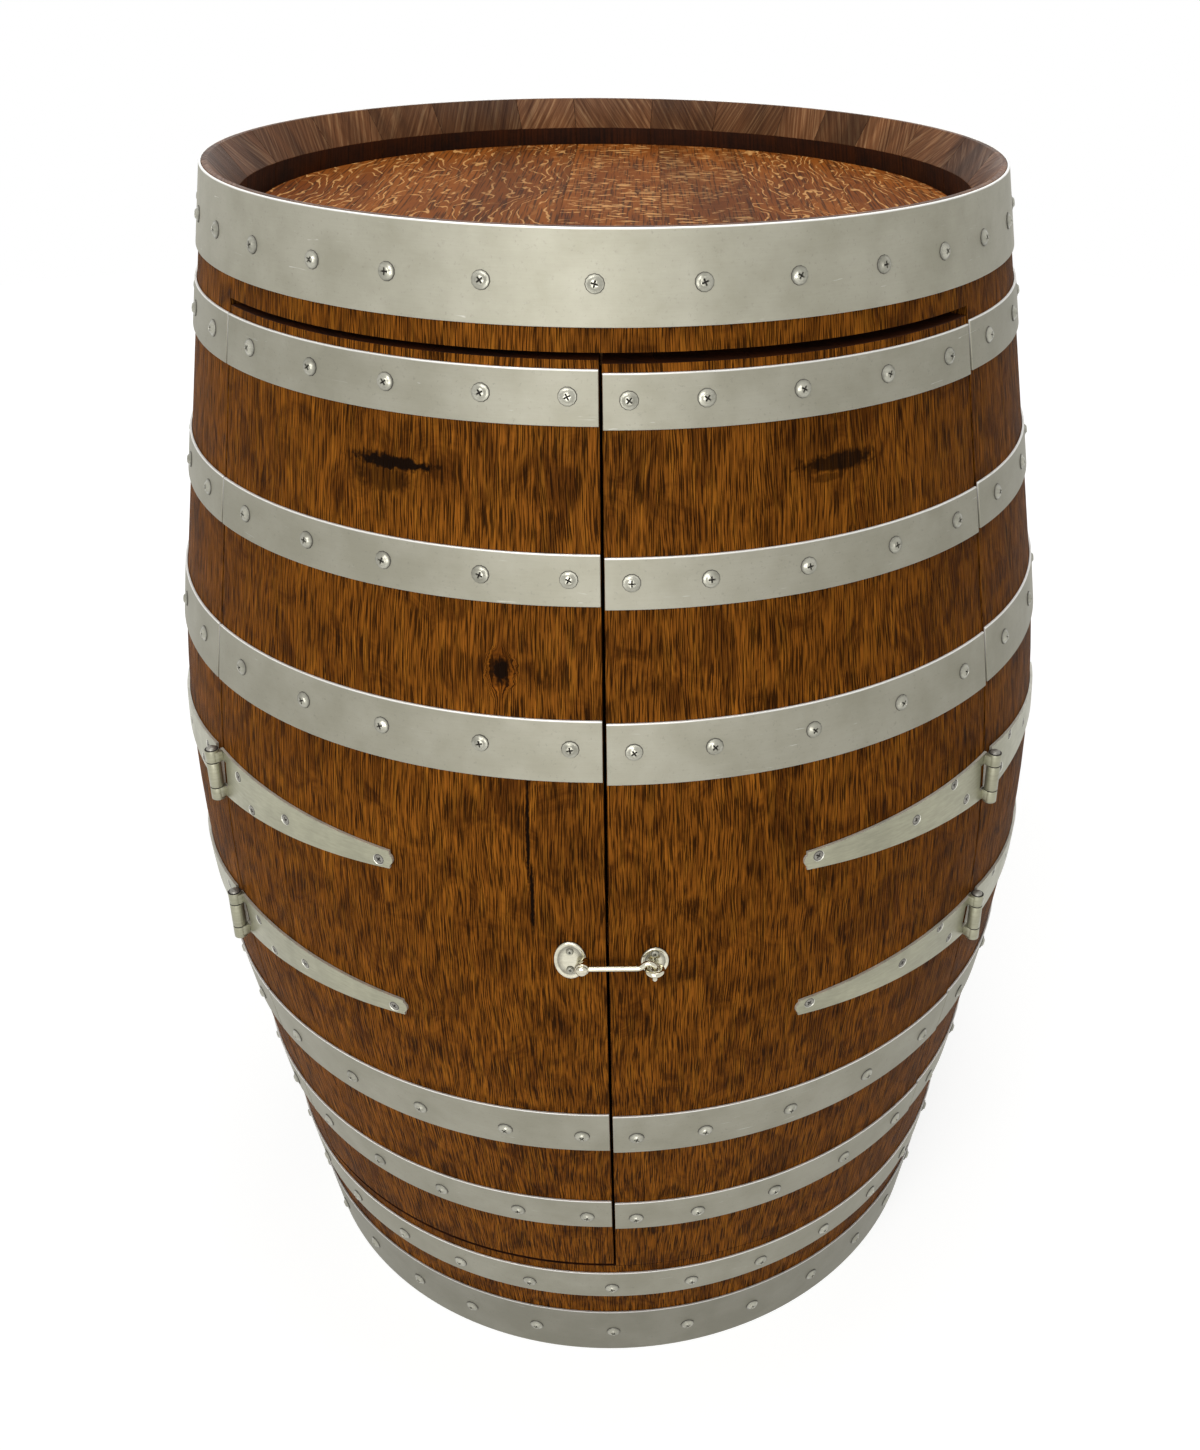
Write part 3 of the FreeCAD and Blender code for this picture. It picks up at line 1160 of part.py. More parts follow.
def hook():
    """Round rod: a ring on the stud, an arm, a rise and a tip down through the eye."""
    z = "Layout.pivot_height"
    slant = "sqrt(0.5)"
    knee = "Layout.knee_tangent"
    crest = "Layout.crest_tangent"
    knee_x = "Sizes.hook_knee_x"
    tip_x = "Sizes.eye_x"
    inner = "Sizes.pivot_radius + Sizes.pivot_clearance"
    start = "Sizes.pivot_x + (%s + Sizes.hook_ring_radius) / 2" % inner
    points = (
        (start, z), ("%s - %s" % (knee_x, knee), z),
        ("%s + %s * %s" % (knee_x, knee, slant), "%s + %s * %s" % (z, knee, slant)),
        ("%s - %s * %s" % (tip_x, crest, slant), "Layout.hook_crest - %s * %s" % (crest, slant)),
        (tip_x, "Layout.hook_crest - %s" % crest), (tip_x, "Layout.hook_tip"))
    bends = {
        1: ("%s - %s" % (knee_x, knee), "%s + Sizes.hook_knee_bend" % z, "Sizes.hook_knee_bend"),
        3: ("%s - Sizes.hook_tip_bend" % tip_x, "Layout.hook_crest - %s" % crest,
            "Sizes.hook_tip_bend"),
    }
    path = sketch_line("hook_path", points, bends, closed=False)
    path.setExpression("Placement.Base.y", "Layout.hook_y")
    section = doc.addObject("Sketcher::SketchObject", "hook_section")
    section.Placement = Placement(Vector(), Rotation(Vector(0, 1, 0), 90))
    section.addGeometry(Part.Circle(Vector(), UP, value("Sizes.hook_rod_radius")))
    section.addConstraint(Sketcher.Constraint("Coincident", 0, 3, -1, 1))
    bound = section.addConstraint(Sketcher.Constraint("Radius", 0, value("Sizes.hook_rod_radius")))
    section.setExpression("Constraints[%d]" % bound, "Sizes.hook_rod_radius")
    section.setExpression("Placement.Base.x", start)
    section.setExpression("Placement.Base.y", "Layout.hook_y")
    section.setExpression("Placement.Base.z", z)
    arm = doc.addObject("Part::Sweep", "hook_rod")
    arm.Sections = [section]
    arm.Spine = (path, ["Edge%d" % (number + 1) for number in range(5)])
    arm.Solid = True
    arm.Frenet = False
    tip = doc.addObject("Part::Sphere", "hook_tip_ball")
    tip.setExpression("Radius", "Sizes.hook_rod_radius")
    tip.setExpression("Placement.Base.x", tip_x)
    tip.setExpression("Placement.Base.y", "Layout.hook_y")
    tip.setExpression("Placement.Base.z", "Layout.hook_tip")
    back = "Layout.hook_y + Sizes.hook_ring_thickness / 2"
    front = Vector(0, -1, 0)
    ring = rod("hook_ring", "Sizes.hook_ring_radius", "Sizes.hook_ring_thickness",
               "Sizes.pivot_x", back, z, front)
    bore = rod("hook_bore", inner, "Sizes.hook_ring_thickness", "Sizes.pivot_x", back, z, front)
    sub_part(cut("hook", fused("hook_solid", [arm, tip, ring]), bore), "hook")


def latch():
    """Plates, their screws and the hook; returns the seats in each door."""
    left = plate_seats("Layout.hook_plate_bearing", "Layout.pivot_height", "Sizes.hook_plate_screw")
    right = plate_seats("Layout.eye_bearing", "Layout.eye_height", "Sizes.eye_plate_screw")
    hook_plate(left)
    eye_plate(right)
    hook()
    screw = plate_screw()
    doc.recompute()
    sub_part(copies("hook_plate_screws", screw, left), "hook_plate_screws")
    sub_part(copies("eye_plate_screws", screw, right), "eye_plate_screws")
    return {"left_door": left, "right_door": right}


# ---------------------------------------------------------------------------------------------
# Doors
# ---------------------------------------------------------------------------------------------

def door(side, outlines, screw, number, strap_places, plate_places):
    """Staves of one door, the hoop segments across them and the hoop screws."""
    drop = "Sizes.right_door_drop" if side == "right_door" else "0"
    cut_edges, whole_edges = door_stave_edges(side)
    hoop_places = {name: [] for name in DOOR_HOOPS}
    strap_radius = value("Sizes.strap_screw_radius + Sizes.screw_clearance")
    strap_reach = value("Sizes.strap_screw_length + Sizes.screw_clearance")
    plate_radius = value("Sizes.plate_screw_radius + Sizes.screw_clearance")
    plate_reach = value("Sizes.plate_screw_length + Sizes.screw_clearance")
    strap_pilots = holes(side + "_strap_pilots", strap_places, strap_radius, strap_reach, 0)
    plate_pilots = holes(side + "_plate_pilots", plate_places, plate_radius, plate_reach, 0)
    pilots = grouped(side + "_fitting_pilots", [strap_pilots, plate_pilots])
    for order, edges in enumerate(cut_edges, 1):
        seats = []
        for name in DOOR_HOOPS:
            number += 1
            seats.append(hoop_seat(name, mid_bearing(whole_edges[order - 1]), number, value(drop)))
            hoop_places[name].append(seats[-1])
        label = "%s_stave_%d" % (side, order)
        drilled = drilled_stave(label + "_drilled", outlines["door"], edges, seats, drop)
        sub_part(cut(label, drilled, pilots), label)
    outer = cut_edges[-1][0 if side == "left_door" else 1]
    inner = cut_edges[0][1 if side == "left_door" else 0]
    ends = (outer, inner) if side == "left_door" else (inner, outer)
    span = (ends[0] + " + Layout.hoop_inset", ends[1] + " - Layout.hoop_inset")
    for name in DOOR_HOOPS:
        label = "%s_%s" % (side, name)
        section = doc.getObject(name + "_section_1")
        segment = turned(label + "_segment", section, *span, height="-" + drop)
        sub_part(drilled_hoop(label, segment, hoop_places[name]), label)
    every = [place for name in DOOR_HOOPS for place in hoop_places[name]]
    sub_part(copies(side + "_hoop_screws", screw, every), side + "_hoop_screws")
    return number


# ---------------------------------------------------------------------------------------------
# Assembly and files
# ---------------------------------------------------------------------------------------------

def drill_body_staves(places):
    """Pilot holes of the frame leaves' screws in the side staves."""
    radius = value("Sizes.strap_screw_radius + Sizes.screw_clearance")
    reach = value("Sizes.strap_screw_length + Sizes.screw_clearance")
    pilots = holes("frame_leaf_pilots", places, radius, reach, 0)
    for group in ("right_side", "left_side"):
        node = next(made for made in sub_parts if made.Label == group + "_staves")
        node.Links = [cut(stave.Name + "_with_leaf_pilots", stave, pilots) for stave in node.Links]


def check_and_write():
    """Stop if anything failed, then write one file for each sub-part."""
    doc.recompute()
    for made in doc.Objects:
        if "Invalid" in made.State or "Error" in made.State:
            raise RuntimeError("%s failed: %s" % (made.Name, made.State))
    for made in sub_parts:
        if made.Shape.isNull() or not made.Shape.isValid() or not made.Shape.Solids:
            raise RuntimeError("%s has no sound solid" % made.Label)
    os.makedirs("parts", exist_ok=True)
    for made in sub_parts:
        made.Shape.exportStep("parts/%s.step" % made.Label)
        box = made.Shape.BoundBox
        print("%-34s %3d solids  x %8.1f %8.1f  y %8.1f %8.1f  z %8.1f %8.1f" % (
            made.Label, len(made.Shape.Solids), box.XMin, box.XMax, box.YMin, box.YMax, box.ZMin,
            box.ZMax))


make_sheets()
heads()
outlines, screw, screws_so_far = hoops_and_staves()
strap_places = hinges()
plate_places = latch()
drill_body_staves(strap_places["body"])
shelf_and_cleats()
stop_rail("upper_stop_rail", "Layout.upper_rail_low", "Layout.upper_rail_high")
stop_rail("lower_stop_rail", "Layout.lower_rail_low", "Layout.lower_rail_high")
for side in ("left_door", "right_door"):
    screws_so_far = door(side, outlines, screw, screws_so_far, strap_places[side], plate_places[side])
check_and_write()
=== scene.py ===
"""Looks of the barrel bar cabinet: oak staves, steel hoops, screws, strap hinges and a hook latch.

Lengths are millimetres until a piece is written, then metres. +Z is up, the origin is on the floor at
the barrel's centre line and the doors face -Y. A bearing is counted in degrees round the barrel, from
the front towards +X.
"""

import json
import logging
import math
import random
from collections.abc import Callable, Sequence
from dataclasses import dataclass, field
from enum import Enum, IntEnum
from typing import Any

import bmesh
import bpy
from mathutils import Matrix, Vector

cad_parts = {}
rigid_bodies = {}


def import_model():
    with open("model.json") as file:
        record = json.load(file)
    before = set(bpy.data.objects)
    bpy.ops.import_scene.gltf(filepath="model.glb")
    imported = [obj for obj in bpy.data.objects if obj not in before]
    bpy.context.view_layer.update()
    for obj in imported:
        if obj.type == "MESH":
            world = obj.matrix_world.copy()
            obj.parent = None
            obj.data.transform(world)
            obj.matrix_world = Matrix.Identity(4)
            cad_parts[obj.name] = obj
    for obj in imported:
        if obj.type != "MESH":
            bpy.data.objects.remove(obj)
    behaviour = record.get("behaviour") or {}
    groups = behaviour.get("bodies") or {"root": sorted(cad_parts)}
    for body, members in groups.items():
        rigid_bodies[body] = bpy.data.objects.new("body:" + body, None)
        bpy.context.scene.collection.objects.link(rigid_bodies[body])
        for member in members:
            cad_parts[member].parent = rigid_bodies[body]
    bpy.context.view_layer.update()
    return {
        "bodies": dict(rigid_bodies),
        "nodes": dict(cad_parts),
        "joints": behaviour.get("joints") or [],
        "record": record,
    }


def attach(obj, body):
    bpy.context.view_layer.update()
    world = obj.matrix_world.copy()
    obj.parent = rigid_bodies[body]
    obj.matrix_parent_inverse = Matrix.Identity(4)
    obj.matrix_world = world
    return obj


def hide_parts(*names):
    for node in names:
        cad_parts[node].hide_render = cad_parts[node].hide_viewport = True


MM = 0.001
GRAIN = "grain"
# Attribute of a piece's tone: a random tone on the wood, painted light and shade on the hoops.
TONE_AND_PAINTED_LIGHT = "tone"
JOINT = "joint"
RIM = "rim"
# Attribute that darkens and dulls recesses, feet and gaps: dirt and painted shade.
DIRT_AND_SHADE = "grime"
log = logging.getLogger("barrel_cabinet")

Point = tuple[float, float]
Section = list[Point]
Extent = tuple[float, ...]
Solid = bmesh.types.BMesh
Finish = bpy.types.Material
Socket = bpy.types.NodeSocket

# In a colour mix input 0 is the share, 6 and 7 are the colours, and output 2 is the result.
BLEND = {"data_type": "RGBA"}
TINT = {**BLEND, "blend_type": "MULTIPLY"}
FLAT = {"noise_dimensions": "2D"}
SMOOTH = {"interpolation_type": "SMOOTHSTEP"}
PLUS = {"operation": "ADD"}
LESS = {"operation": "SUBTRACT"}
TIMES = {"operation": "MULTIPLY"}
TIMES_PLUS = {"operation": "MULTIPLY_ADD"}
MOST = {"operation": "MAXIMUM"}
WHITE = "#FFFFFF"

# Edges of small turned parts stay smooth up to this angle, in degrees.
TURNED_SMOOTH = 46.0

# Degrees that each screw is turned further than the one before.
SCREW_TURN = 37

# Numbers of the first stave in each group of whole staves; those of the front count from 0.
FIRST_NUMBERS = {"right_side": 20, "back": 30, "left_side": 40}


class Body(Enum):
    """Bodies that pieces ride on."""

    BARREL = "barrel"
    LEFT_DOOR = "left_door"
    RIGHT_DOOR = "right_door"
    HOOK = "hook"


class Side(Enum):
    """Hand of a door: the sign of the way its straps run from their hinge."""

    LEFT = 1
    RIGHT = -1

    @property
    def body(self) -> Body:
        """Body of the door."""
        return Body.LEFT_DOOR if self is Side.LEFT else Body.RIGHT_DOOR


class StaveFace(IntEnum):
    """Finishes of a stave, in the order of its materials."""

    WAXED = 0
    END_CUT = 1
    # Toasted inside of the wall, and painted shade on the sawn ends of the doors, lintel and sill.
    TOASTED = 2


# ---- Materials ----

def linear(code: str) -> tuple[float, float, float, float]:
    """Turn an sRGB hex code into linear colour.

    Args:
        code: Six hex digits after a hash.

    Returns:
        Red, green, blue and an alpha of 1.
    """
    parts = [int(code[place:place + 2], 16) / 255 for place in (1, 3, 5)]
    red, green, blue = (part / 12.92 if part <= 0.04045 else ((part + 0.055) / 1.055) ** 2.4
                        for part in parts)
    return red, green, blue, 1.0


def span(value: Socket, start: float, end: float, low: float, high: float) -> dict[str, Any]:
    """Inputs of a map range node that turns start into low and end into high."""
    return {"Value": value, "From Min": start, "From Max": end, "To Min": low, "To Max": high}


class Sheet:
    """Node tree of a material or of the world."""

    def __init__(self, name: str, world: bpy.types.World | None = None) -> None:
        """Start an empty tree.

        Args:
            name: Name of the new material.
            world: The world, where the tree is that of the world.
        """
        self.owner = world or bpy.data.materials.new(name)
        self.owner.use_nodes = True
        self.tree = self.owner.node_tree
        self.tree.nodes.clear()

    def add(self, kind: str, settings: dict[str, Any] | None = None,
            inputs: dict[int | str, Any] | None = None, out: int | str = 0) -> Socket:
        """Add a node with its settings and links.

        Args:
            kind: Node type without its ShaderNode prefix.
            settings: Attributes of the node; "stops" holds the (position, colour) pairs of a ramp.
            inputs: Values or output sockets by input name or number. A hex code is a colour.
            out: Output to return.

        Returns:
            One output socket of the node.
        """
        node = self.tree.nodes.new("ShaderNode" + kind)
        for key, setting in (settings or {}).items():
            if key == "stops":
                elements = node.color_ramp.elements
                while len(elements) < len(setting):
                    elements.new(0.5)
                for element, (position, colour) in zip(elements, setting):
                    element.position = position
                    element.color = linear(colour)
            else:
                setattr(node, key, setting)
        for key, content in (inputs or {}).items():
            if isinstance(content, Socket):
                self.tree.links.new(content, node.inputs[key])
            else:
                node.inputs[key].default_value = linear(content) if isinstance(content, str) else content
        return node.outputs[out] if node.outputs else None

    def pattern(self, place: Socket, sizes: Extent, detail: float, distortion: float = 0.0,
                roughness: float = 0.6) -> Socket:
        """Add a random pattern that is stretched by its own amount along each axis.

        Args:
            place: Coordinates in metres.
            sizes: Size of its features along each axis, in millimetres; two of them make it flat.
            detail: Number of finer layers.
            distortion: How far it wanders.
            roughness: Weight of the finer layers.

        Returns:
            Number from 0 to 1.
        """
        is_flat = len(sizes) == 2
        rates = [1 / (size * MM) for size in sizes] + ([0.0] if is_flat else [])
        stretched = self.add("VectorMath", TIMES, {0: place, 1: rates})
        return self.add("TexNoise", FLAT if is_flat else None, {
            "Vector": stretched, "Scale": 1.0, "Detail": detail, "Roughness": roughness,
            "Distortion": distortion})

    def close(self, constants: dict[str, Any], colour: Socket, roughness: Socket, height: Socket,
              relief: float) -> Finish:
        """Add the surface shader with its bump.

        Args:
            constants: Values of the shader's own sockets.
            colour: Base colour.
            roughness: Roughness.
            height: Bump height, from 0 to 1.
            relief: Bump depth in millimetres.

        Returns:
            The finished material.
        """
        normal = self.add("Bump", None, {"Height": height, "Distance": relief * MM, "Strength": 1.0})
        linked = {"Base Color": colour, "Roughness": roughness, "Normal": normal}
        surface = self.add("BsdfPrincipled", None, {**constants, **linked})
        self.add("OutputMaterial", None, {"Surface": surface})
        return self.owner


@dataclass(frozen=True)
class Mark:
    """Knot, gouge or crack in a stave, at a bearing and a height.

    spread is how far the grain is pushed aside round it, as a multiple of its half size; 0 leaves the
    grain straight. point is how much narrower its right end is than its left end. depth is how dark it
    is, up to 1.
    """

    bearing: float
    height: float
    width: float
    length: float
    spread: float = 0.0
    point: float = 0.0
    depth: float = 1.0


@dataclass(frozen=True)
class WaxedOak:
    """Staves: plain sawn European oak, planed, stained brown and waxed.

    Ring-porous wood: short dark pores all over, lighter late wood between them, blotches where the
    stain sank in, and a thin film of wax that hardly shines. Real fibres and pores are a few tenths of
    a millimetre wide and would blur away, so they are drawn coarser.
    """

    name: str = "stained_waxed_oak"
    ground: str = "#824C14"
    dark: str = "#552E09"
    gold: str = "#A0661C"
    pore: str = "#160800"
    knot: str = "#100500"
    knot_glow: str = "#FFF0DA"
    fibre: Extent = (0.75, 42.0)
    pore_size: Extent = (0.8, 24.0)
    streak: Extent = (5.0, 48.0)
    blotch: Extent = (30.0, 44.0)
    wander: float = 6.0
    wander_size: float = 1000 / 11
    fray_size: float = 1000 / 240
    seam: float = 0.5
    relief: float = 0.3

    def material(self, places: Sequence[tuple[Mark, float, float]]) -> Finish:
        """Build the material.

        Args:
            places: Marks with the grain coordinates of their middles.

        Returns:
            The material.
        """
        sheet = Sheet(self.name)
        plain = sheet.add("UVMap", {"uv_map": GRAIN})
        wander = sheet.add("TexNoise", FLAT, {
            "Vector": plain, "Scale": 1 / (self.wander_size * MM), "Detail": 2.0}, "Color")
        centred = sheet.add("VectorMath", LESS, {0: wander, 1: (0.5, 0.5, 0.5)})
        grain = sheet.add("VectorMath", TIMES_PLUS, {0: centred, 1: (self.wander * MM, 0.0, 0.0), 2: plain})
        ragged = sheet.add("TexNoise", FLAT, {
            "Vector": plain, "Scale": 1 / (self.fray_size * MM), "Detail": 2.0}, "Color")
        frayed = sheet.add("VectorMath", TIMES_PLUS, {
            0: ragged, 1: (1.0, 0.7, 0.0), 2: (-0.5, -0.35, 0.0)})
        hollow, glow = None, None
        for mark, across, height in places:
            offset = sheet.add("VectorMath", LESS, {0: plain, 1: (across, height, 0.0)})
            shape = sheet.add("VectorMath", {"operation": "DIVIDE"}, {
                0: offset, 1: (mark.width * MM / 2, mark.length * MM / 2, 1.0)})
            frame = sheet.add("VectorMath", PLUS, {0: shape, 1: frayed})
            along = sheet.add("SeparateXYZ", None, {0: frame}, "X")
            taper = sheet.add("MapRange", None, span(along, -1.0, 1.0, 1.0, 1.0 + mark.point))
            narrowing = sheet.add("CombineXYZ", None, {"X": 1.0, "Y": taper, "Z": 0.0})
            pinched = sheet.add("VectorMath", TIMES, {0: frame, 1: narrowing})
            reach = sheet.add("VectorMath", {"operation": "LENGTH"}, {0: pinched}, "Value")
            core = sheet.add("MapRange", SMOOTH, span(reach, 0.65, 1.2, mark.depth, 0.0))
            if mark.spread:
                near = sheet.add("MapRange", SMOOTH, span(reach, 1.0, mark.spread, 0.7, 0.0))
                pushed = sheet.add("VectorMath", TIMES, {0: offset, 1: (-1.0, 0.0, 0.0)})
                pulled = sheet.add("VectorMath", {"operation": "SCALE"}, {0: pushed, "Scale": near})
                grain = sheet.add("VectorMath", PLUS, {0: grain, 1: pulled})
                glow = near if glow is None else sheet.add("Math", MOST, {0: glow, 1: near})
            hollow = core if hollow is None else sheet.add("Math", MOST, {0: hollow, 1: core})
        fibres = sheet.pattern(grain, self.fibre, 2.0)
        streaks = sheet.pattern(grain, self.streak, 4.0, 0.3)
        pores = sheet.pattern(grain, self.pore_size, 1.0)
        blotch = sheet.pattern(grain, self.blotch, 5.0, 1.0)
        tone, joint = (sheet.add("Attribute", {"attribute_name": name}, None, "Fac")
                       for name in (TONE_AND_PAINTED_LIGHT, JOINT))
        soaked = sheet.add("MapRange", SMOOTH, span(blotch, 0.28, 0.62, 0.0, 1.0))
        ground = sheet.add("Mix", BLEND, {0: soaked, 6: self.dark, 7: self.ground}, 2)
        late = sheet.add("MapRange", SMOOTH, span(streaks, 0.46, 0.74, 0.0, 0.4))
        golden = sheet.add("Mix", BLEND, {0: late, 6: ground, 7: self.gold}, 2)
        early = sheet.add("MapRange", None, span(streaks, 0.30, 0.46, 0.15, 0.0))
        banded = sheet.add("Mix", BLEND, {0: early, 6: golden, 7: self.dark}, 2)
        thread = sheet.add("MapRange", None, span(fibres, 0.34, 0.66, 0.60, 1.42))
        fibrous = sheet.add("Mix", TINT, {0: 1.0, 6: banded, 7: thread}, 2)
        hole = sheet.add("MapRange", None, span(pores, 0.52, 0.60, 0.0, 0.85))
        porous = sheet.add("Mix", BLEND, {0: hole, 6: fibrous, 7: self.pore}, 2)
        shade = sheet.add("MapRange", None, span(tone, -1.0, 1.0, 0.95, 1.08))
        toned = sheet.add("Mix", TINT, {0: 1.0, 6: porous, 7: shade}, 2)
        if glow is not None:
            toned = sheet.add("Mix", TINT, {0: glow, 6: toned, 7: self.knot_glow}, 2)
        if hollow is not None:
            toned = sheet.add("Mix", BLEND, {0: hollow, 6: toned, 7: self.knot}, 2)
        seam = sheet.add("Math", TIMES, {0: joint, 1: self.seam})
        sooty = sheet.add("Mix", BLEND, {0: seam, 6: toned, 7: self.pore}, 2)
        gloss = sheet.add("MapRange", None, span(fibres, 0.3, 0.7, 0.66, 0.52))
        solid = sheet.add("Math", LESS, {0: fibres, 1: hole})
        if hollow is not None:
            solid = sheet.add("Math", LESS, {0: solid, 1: hollow})
        return sheet.close({"IOR": 1.5, "Specular IOR Level": 0.03}, sooty, gloss, solid, self.relief)


@dataclass(frozen=True)
class ChimeOak:
    """Ends and bevels of the staves: oak cut across the grain, stained and waxed.

    Every stave takes the stain in its own way, and fine growth lines cross it on the slant.
    """

    name: str = "end_cut_oak"
    ground: str = "#6A452A"
    dark: str = "#4A2B16"
    pale: str = "#8F6C4A"
    soot: str = "#0E0502"
    line: Extent = (1.0, 34.0)
    cloud: Extent = (1000 / 45, 1000 / 45)
    relief: float = 0.25

    def material(self) -> Finish:
        """Build the material."""
        sheet = Sheet(self.name)
        grain = sheet.add("UVMap", {"uv_map": GRAIN})
        lines = sheet.pattern(grain, self.line, 3.0, 0.35, 0.65)
        cloud = sheet.pattern(grain, self.cloud, 4.0)
        tone, joint = (sheet.add("Attribute", {"attribute_name": name}, None, "Fac")
                       for name in (TONE_AND_PAINTED_LIGHT, JOINT))
        stops = ((0.26, self.dark), (0.52, self.ground), (0.78, self.pale))
        lined = sheet.add("ValToRGB", {"stops": stops}, {"Fac": lines})
        clouding = sheet.add("MapRange", None, span(cloud, 0.3, 0.7, 0.62, 1.25))
        mottled = sheet.add("Mix", TINT, {0: 1.0, 6: lined, 7: clouding}, 2)
        shade = sheet.add("MapRange", None, span(tone, -1.0, 1.0, 0.55, 1.3))
        toned = sheet.add("Mix", TINT, {0: 1.0, 6: mottled, 7: shade}, 2)
        sooty = sheet.add("Mix", BLEND, {0: joint, 6: toned, 7: self.soot}, 2)
        gloss = sheet.add("MapRange", None, span(lines, 0.3, 0.7, 0.42, 0.28))
        return sheet.close({"IOR": 1.5, "Specular IOR Level": 0.06}, sooty, gloss, lines, self.relief)


@dataclass(frozen=True)
class ToastedOakAndEndShade:
    """Inside of the wall: oak that was charred over a fire when the barrel was bent, then oiled.

    Dark red brown and nearly matt, streaked along the grain. The sawn ends of the doors, lintel and sill
    get it too, as painted shade.
    """

    name: str = "toasted_oak"
    ground: str = "#43200B"
    dark: str = "#1F0D04"
    soot: str = "#0C0502"
    streak: Extent = (1000 / 420, 1000 / 14)
    char: Extent = (1000 / 26, 1000 / 26)
    relief: float = 0.4

    def material(self) -> Finish:
        """Build the material."""
        sheet = Sheet(self.name)
        grain = sheet.add("UVMap", {"uv_map": GRAIN})
        streaks = sheet.pattern(grain, self.streak, 4.0)
        char = sheet.pattern(grain, self.char, 5.0, 0.0, 0.65)
        joint = sheet.add("Attribute", {"attribute_name": JOINT}, None, "Fac")
        both = sheet.add("Math", TIMES, {0: streaks, 1: char})
        colour = sheet.add("ValToRGB", {"stops": ((0.14, self.dark), (0.40, self.ground))}, {"Fac": both})
        sooty = sheet.add("Mix", BLEND, {0: joint, 6: colour, 7: self.soot}, 2)
        gloss = sheet.add("MapRange", None, span(char, 0.3, 0.7, 0.72, 0.5))
        return sheet.close({"IOR": 1.5, "Specular IOR Level": 0.15}, sooty, gloss, both, self.relief)


@dataclass(frozen=True)
class HeadOak:
    """Heads: quarter sawn oak boards, sanded and oiled.

    The saw ran along the medullary rays, so pale golden flecks lie over an orange brown ground with
    fine dark pores, drawn coarser than real ones so that they show. On the middle boards the flecks
    lie across the grain; on the outer ones, cut a little off the ray, they string together into wavy
    lines along it. A board's tone is from 0 to 1 for the first kind and from 1 to 2 for the second.
    """

    name: str = "oiled_quartered_oak"
    ground: str = "#95541E"
    dark: str = "#743C12"
    fleck: str = "#DDA564"
    pore: str = "#2C1406"
    fleck_size: Extent = (11.0, 4.5)
    swarm_size: Extent = (45.0, 70.0)
    pore_size: Extent = (1.8, 60.0)
    cloud_size: Extent = (60.0, 160.0)
    wander_size: Extent = (60.0, 130.0)
    jitter_size: Extent = (7.0, 16.0)
    break_size: Extent = (9.0, 40.0)
    line_spacing: float = 11.0
    line_width: float = 1.5
    line_wander: float = 104.0
    line_jitter: float = 6.0
    roughness: float = 0.55
    relief: float = 0.12

    def material(self) -> Finish:
        """Build the material."""
        sheet = Sheet(self.name)
        grain = sheet.add("UVMap", {"uv_map": GRAIN})
        tone, joint = (sheet.add("Attribute", {"attribute_name": name}, None, "Fac")
                       for name in (TONE_AND_PAINTED_LIGHT, JOINT))
        flecks = sheet.pattern(grain, self.fleck_size, 1.0, 0.8, self.roughness)
        swarm = sheet.pattern(grain, self.swarm_size, 2.0, 0.0, self.roughness)
        pores = sheet.pattern(grain, self.pore_size, 2.0, 0.0, self.roughness)
        cloud = sheet.pattern(grain, self.cloud_size, 4.0, 0.6, self.roughness)
        wander = sheet.pattern(grain, self.wander_size, 3.0, 0.4, self.roughness)
        jitter = sheet.pattern(grain, self.jitter_size, 1.0, 0.0, self.roughness)
        breaks = sheet.pattern(grain, self.break_size, 1.0, 0.0, self.roughness)
        across = sheet.add("SeparateXYZ", None, {0: grain}, "X")
        wavy = sheet.add("Math", TIMES_PLUS, {0: wander, 1: self.line_wander * MM, 2: across})
        shaken = sheet.add("Math", TIMES_PLUS, {0: jitter, 1: self.line_jitter * MM, 2: wavy})
        swing = sheet.add("Math", {"operation": "PINGPONG"}, {0: shaken, 1: self.line_spacing * MM / 2})
        line_edge = self.line_width * MM
        line = sheet.add("MapRange", SMOOTH, span(swing, line_edge * 0.3, line_edge, 1.0, 0.0))
        whole = sheet.add("MapRange", None, span(breaks, 0.44, 0.52, 0.12, 0.85))
        strung = sheet.add("Math", TIMES, {0: line, 1: whole})
        crowd = sheet.add("Math", TIMES_PLUS, {0: swarm, 1: 0.45, 2: flecks})
        spread = sheet.add("MapRange", None, span(crowd, 0.83, 0.90, 0.0, 0.85))
        is_outer = sheet.add("MapRange", None, span(tone, 0.99, 1.01, 0.0, 1.0))
        figure = sheet.add("Mix", {"data_type": "FLOAT"}, {0: is_outer, 2: spread, 3: strung})
        soaked = sheet.add("MapRange", None, span(cloud, 0.32, 0.66, 0.0, 1.0))
        ground = sheet.add("Mix", BLEND, {0: soaked, 6: self.dark, 7: self.ground}, 2)
        hole = sheet.add("MapRange", None, span(pores, 0.50, 0.64, 0.0, 0.75))
        porous = sheet.add("Mix", BLEND, {0: hole, 6: ground, 7: self.pore}, 2)
        figured = sheet.add("Mix", BLEND, {0: figure, 6: porous, 7: self.fleck}, 2)
        own_tone = sheet.add("Math", {"operation": "FRACT"}, {0: tone})
        shade = sheet.add("MapRange", None, span(own_tone, 0.0, 1.0, 0.94, 1.06))
        toned = sheet.add("Mix", TINT, {0: 1.0, 6: figured, 7: shade}, 2)
        seam = sheet.add("Math", TIMES, {0: joint, 1: 0.6})
        sooty = sheet.add("Mix", BLEND, {0: seam, 6: toned, 7: self.pore}, 2)
        gloss = sheet.add("MapRange", None, span(figure, 0.0, 1.0, 0.50, 0.40))
        return sheet.close({"IOR": 1.5, "Specular IOR Level": 0.02}, sooty, gloss, pores, self.relief)


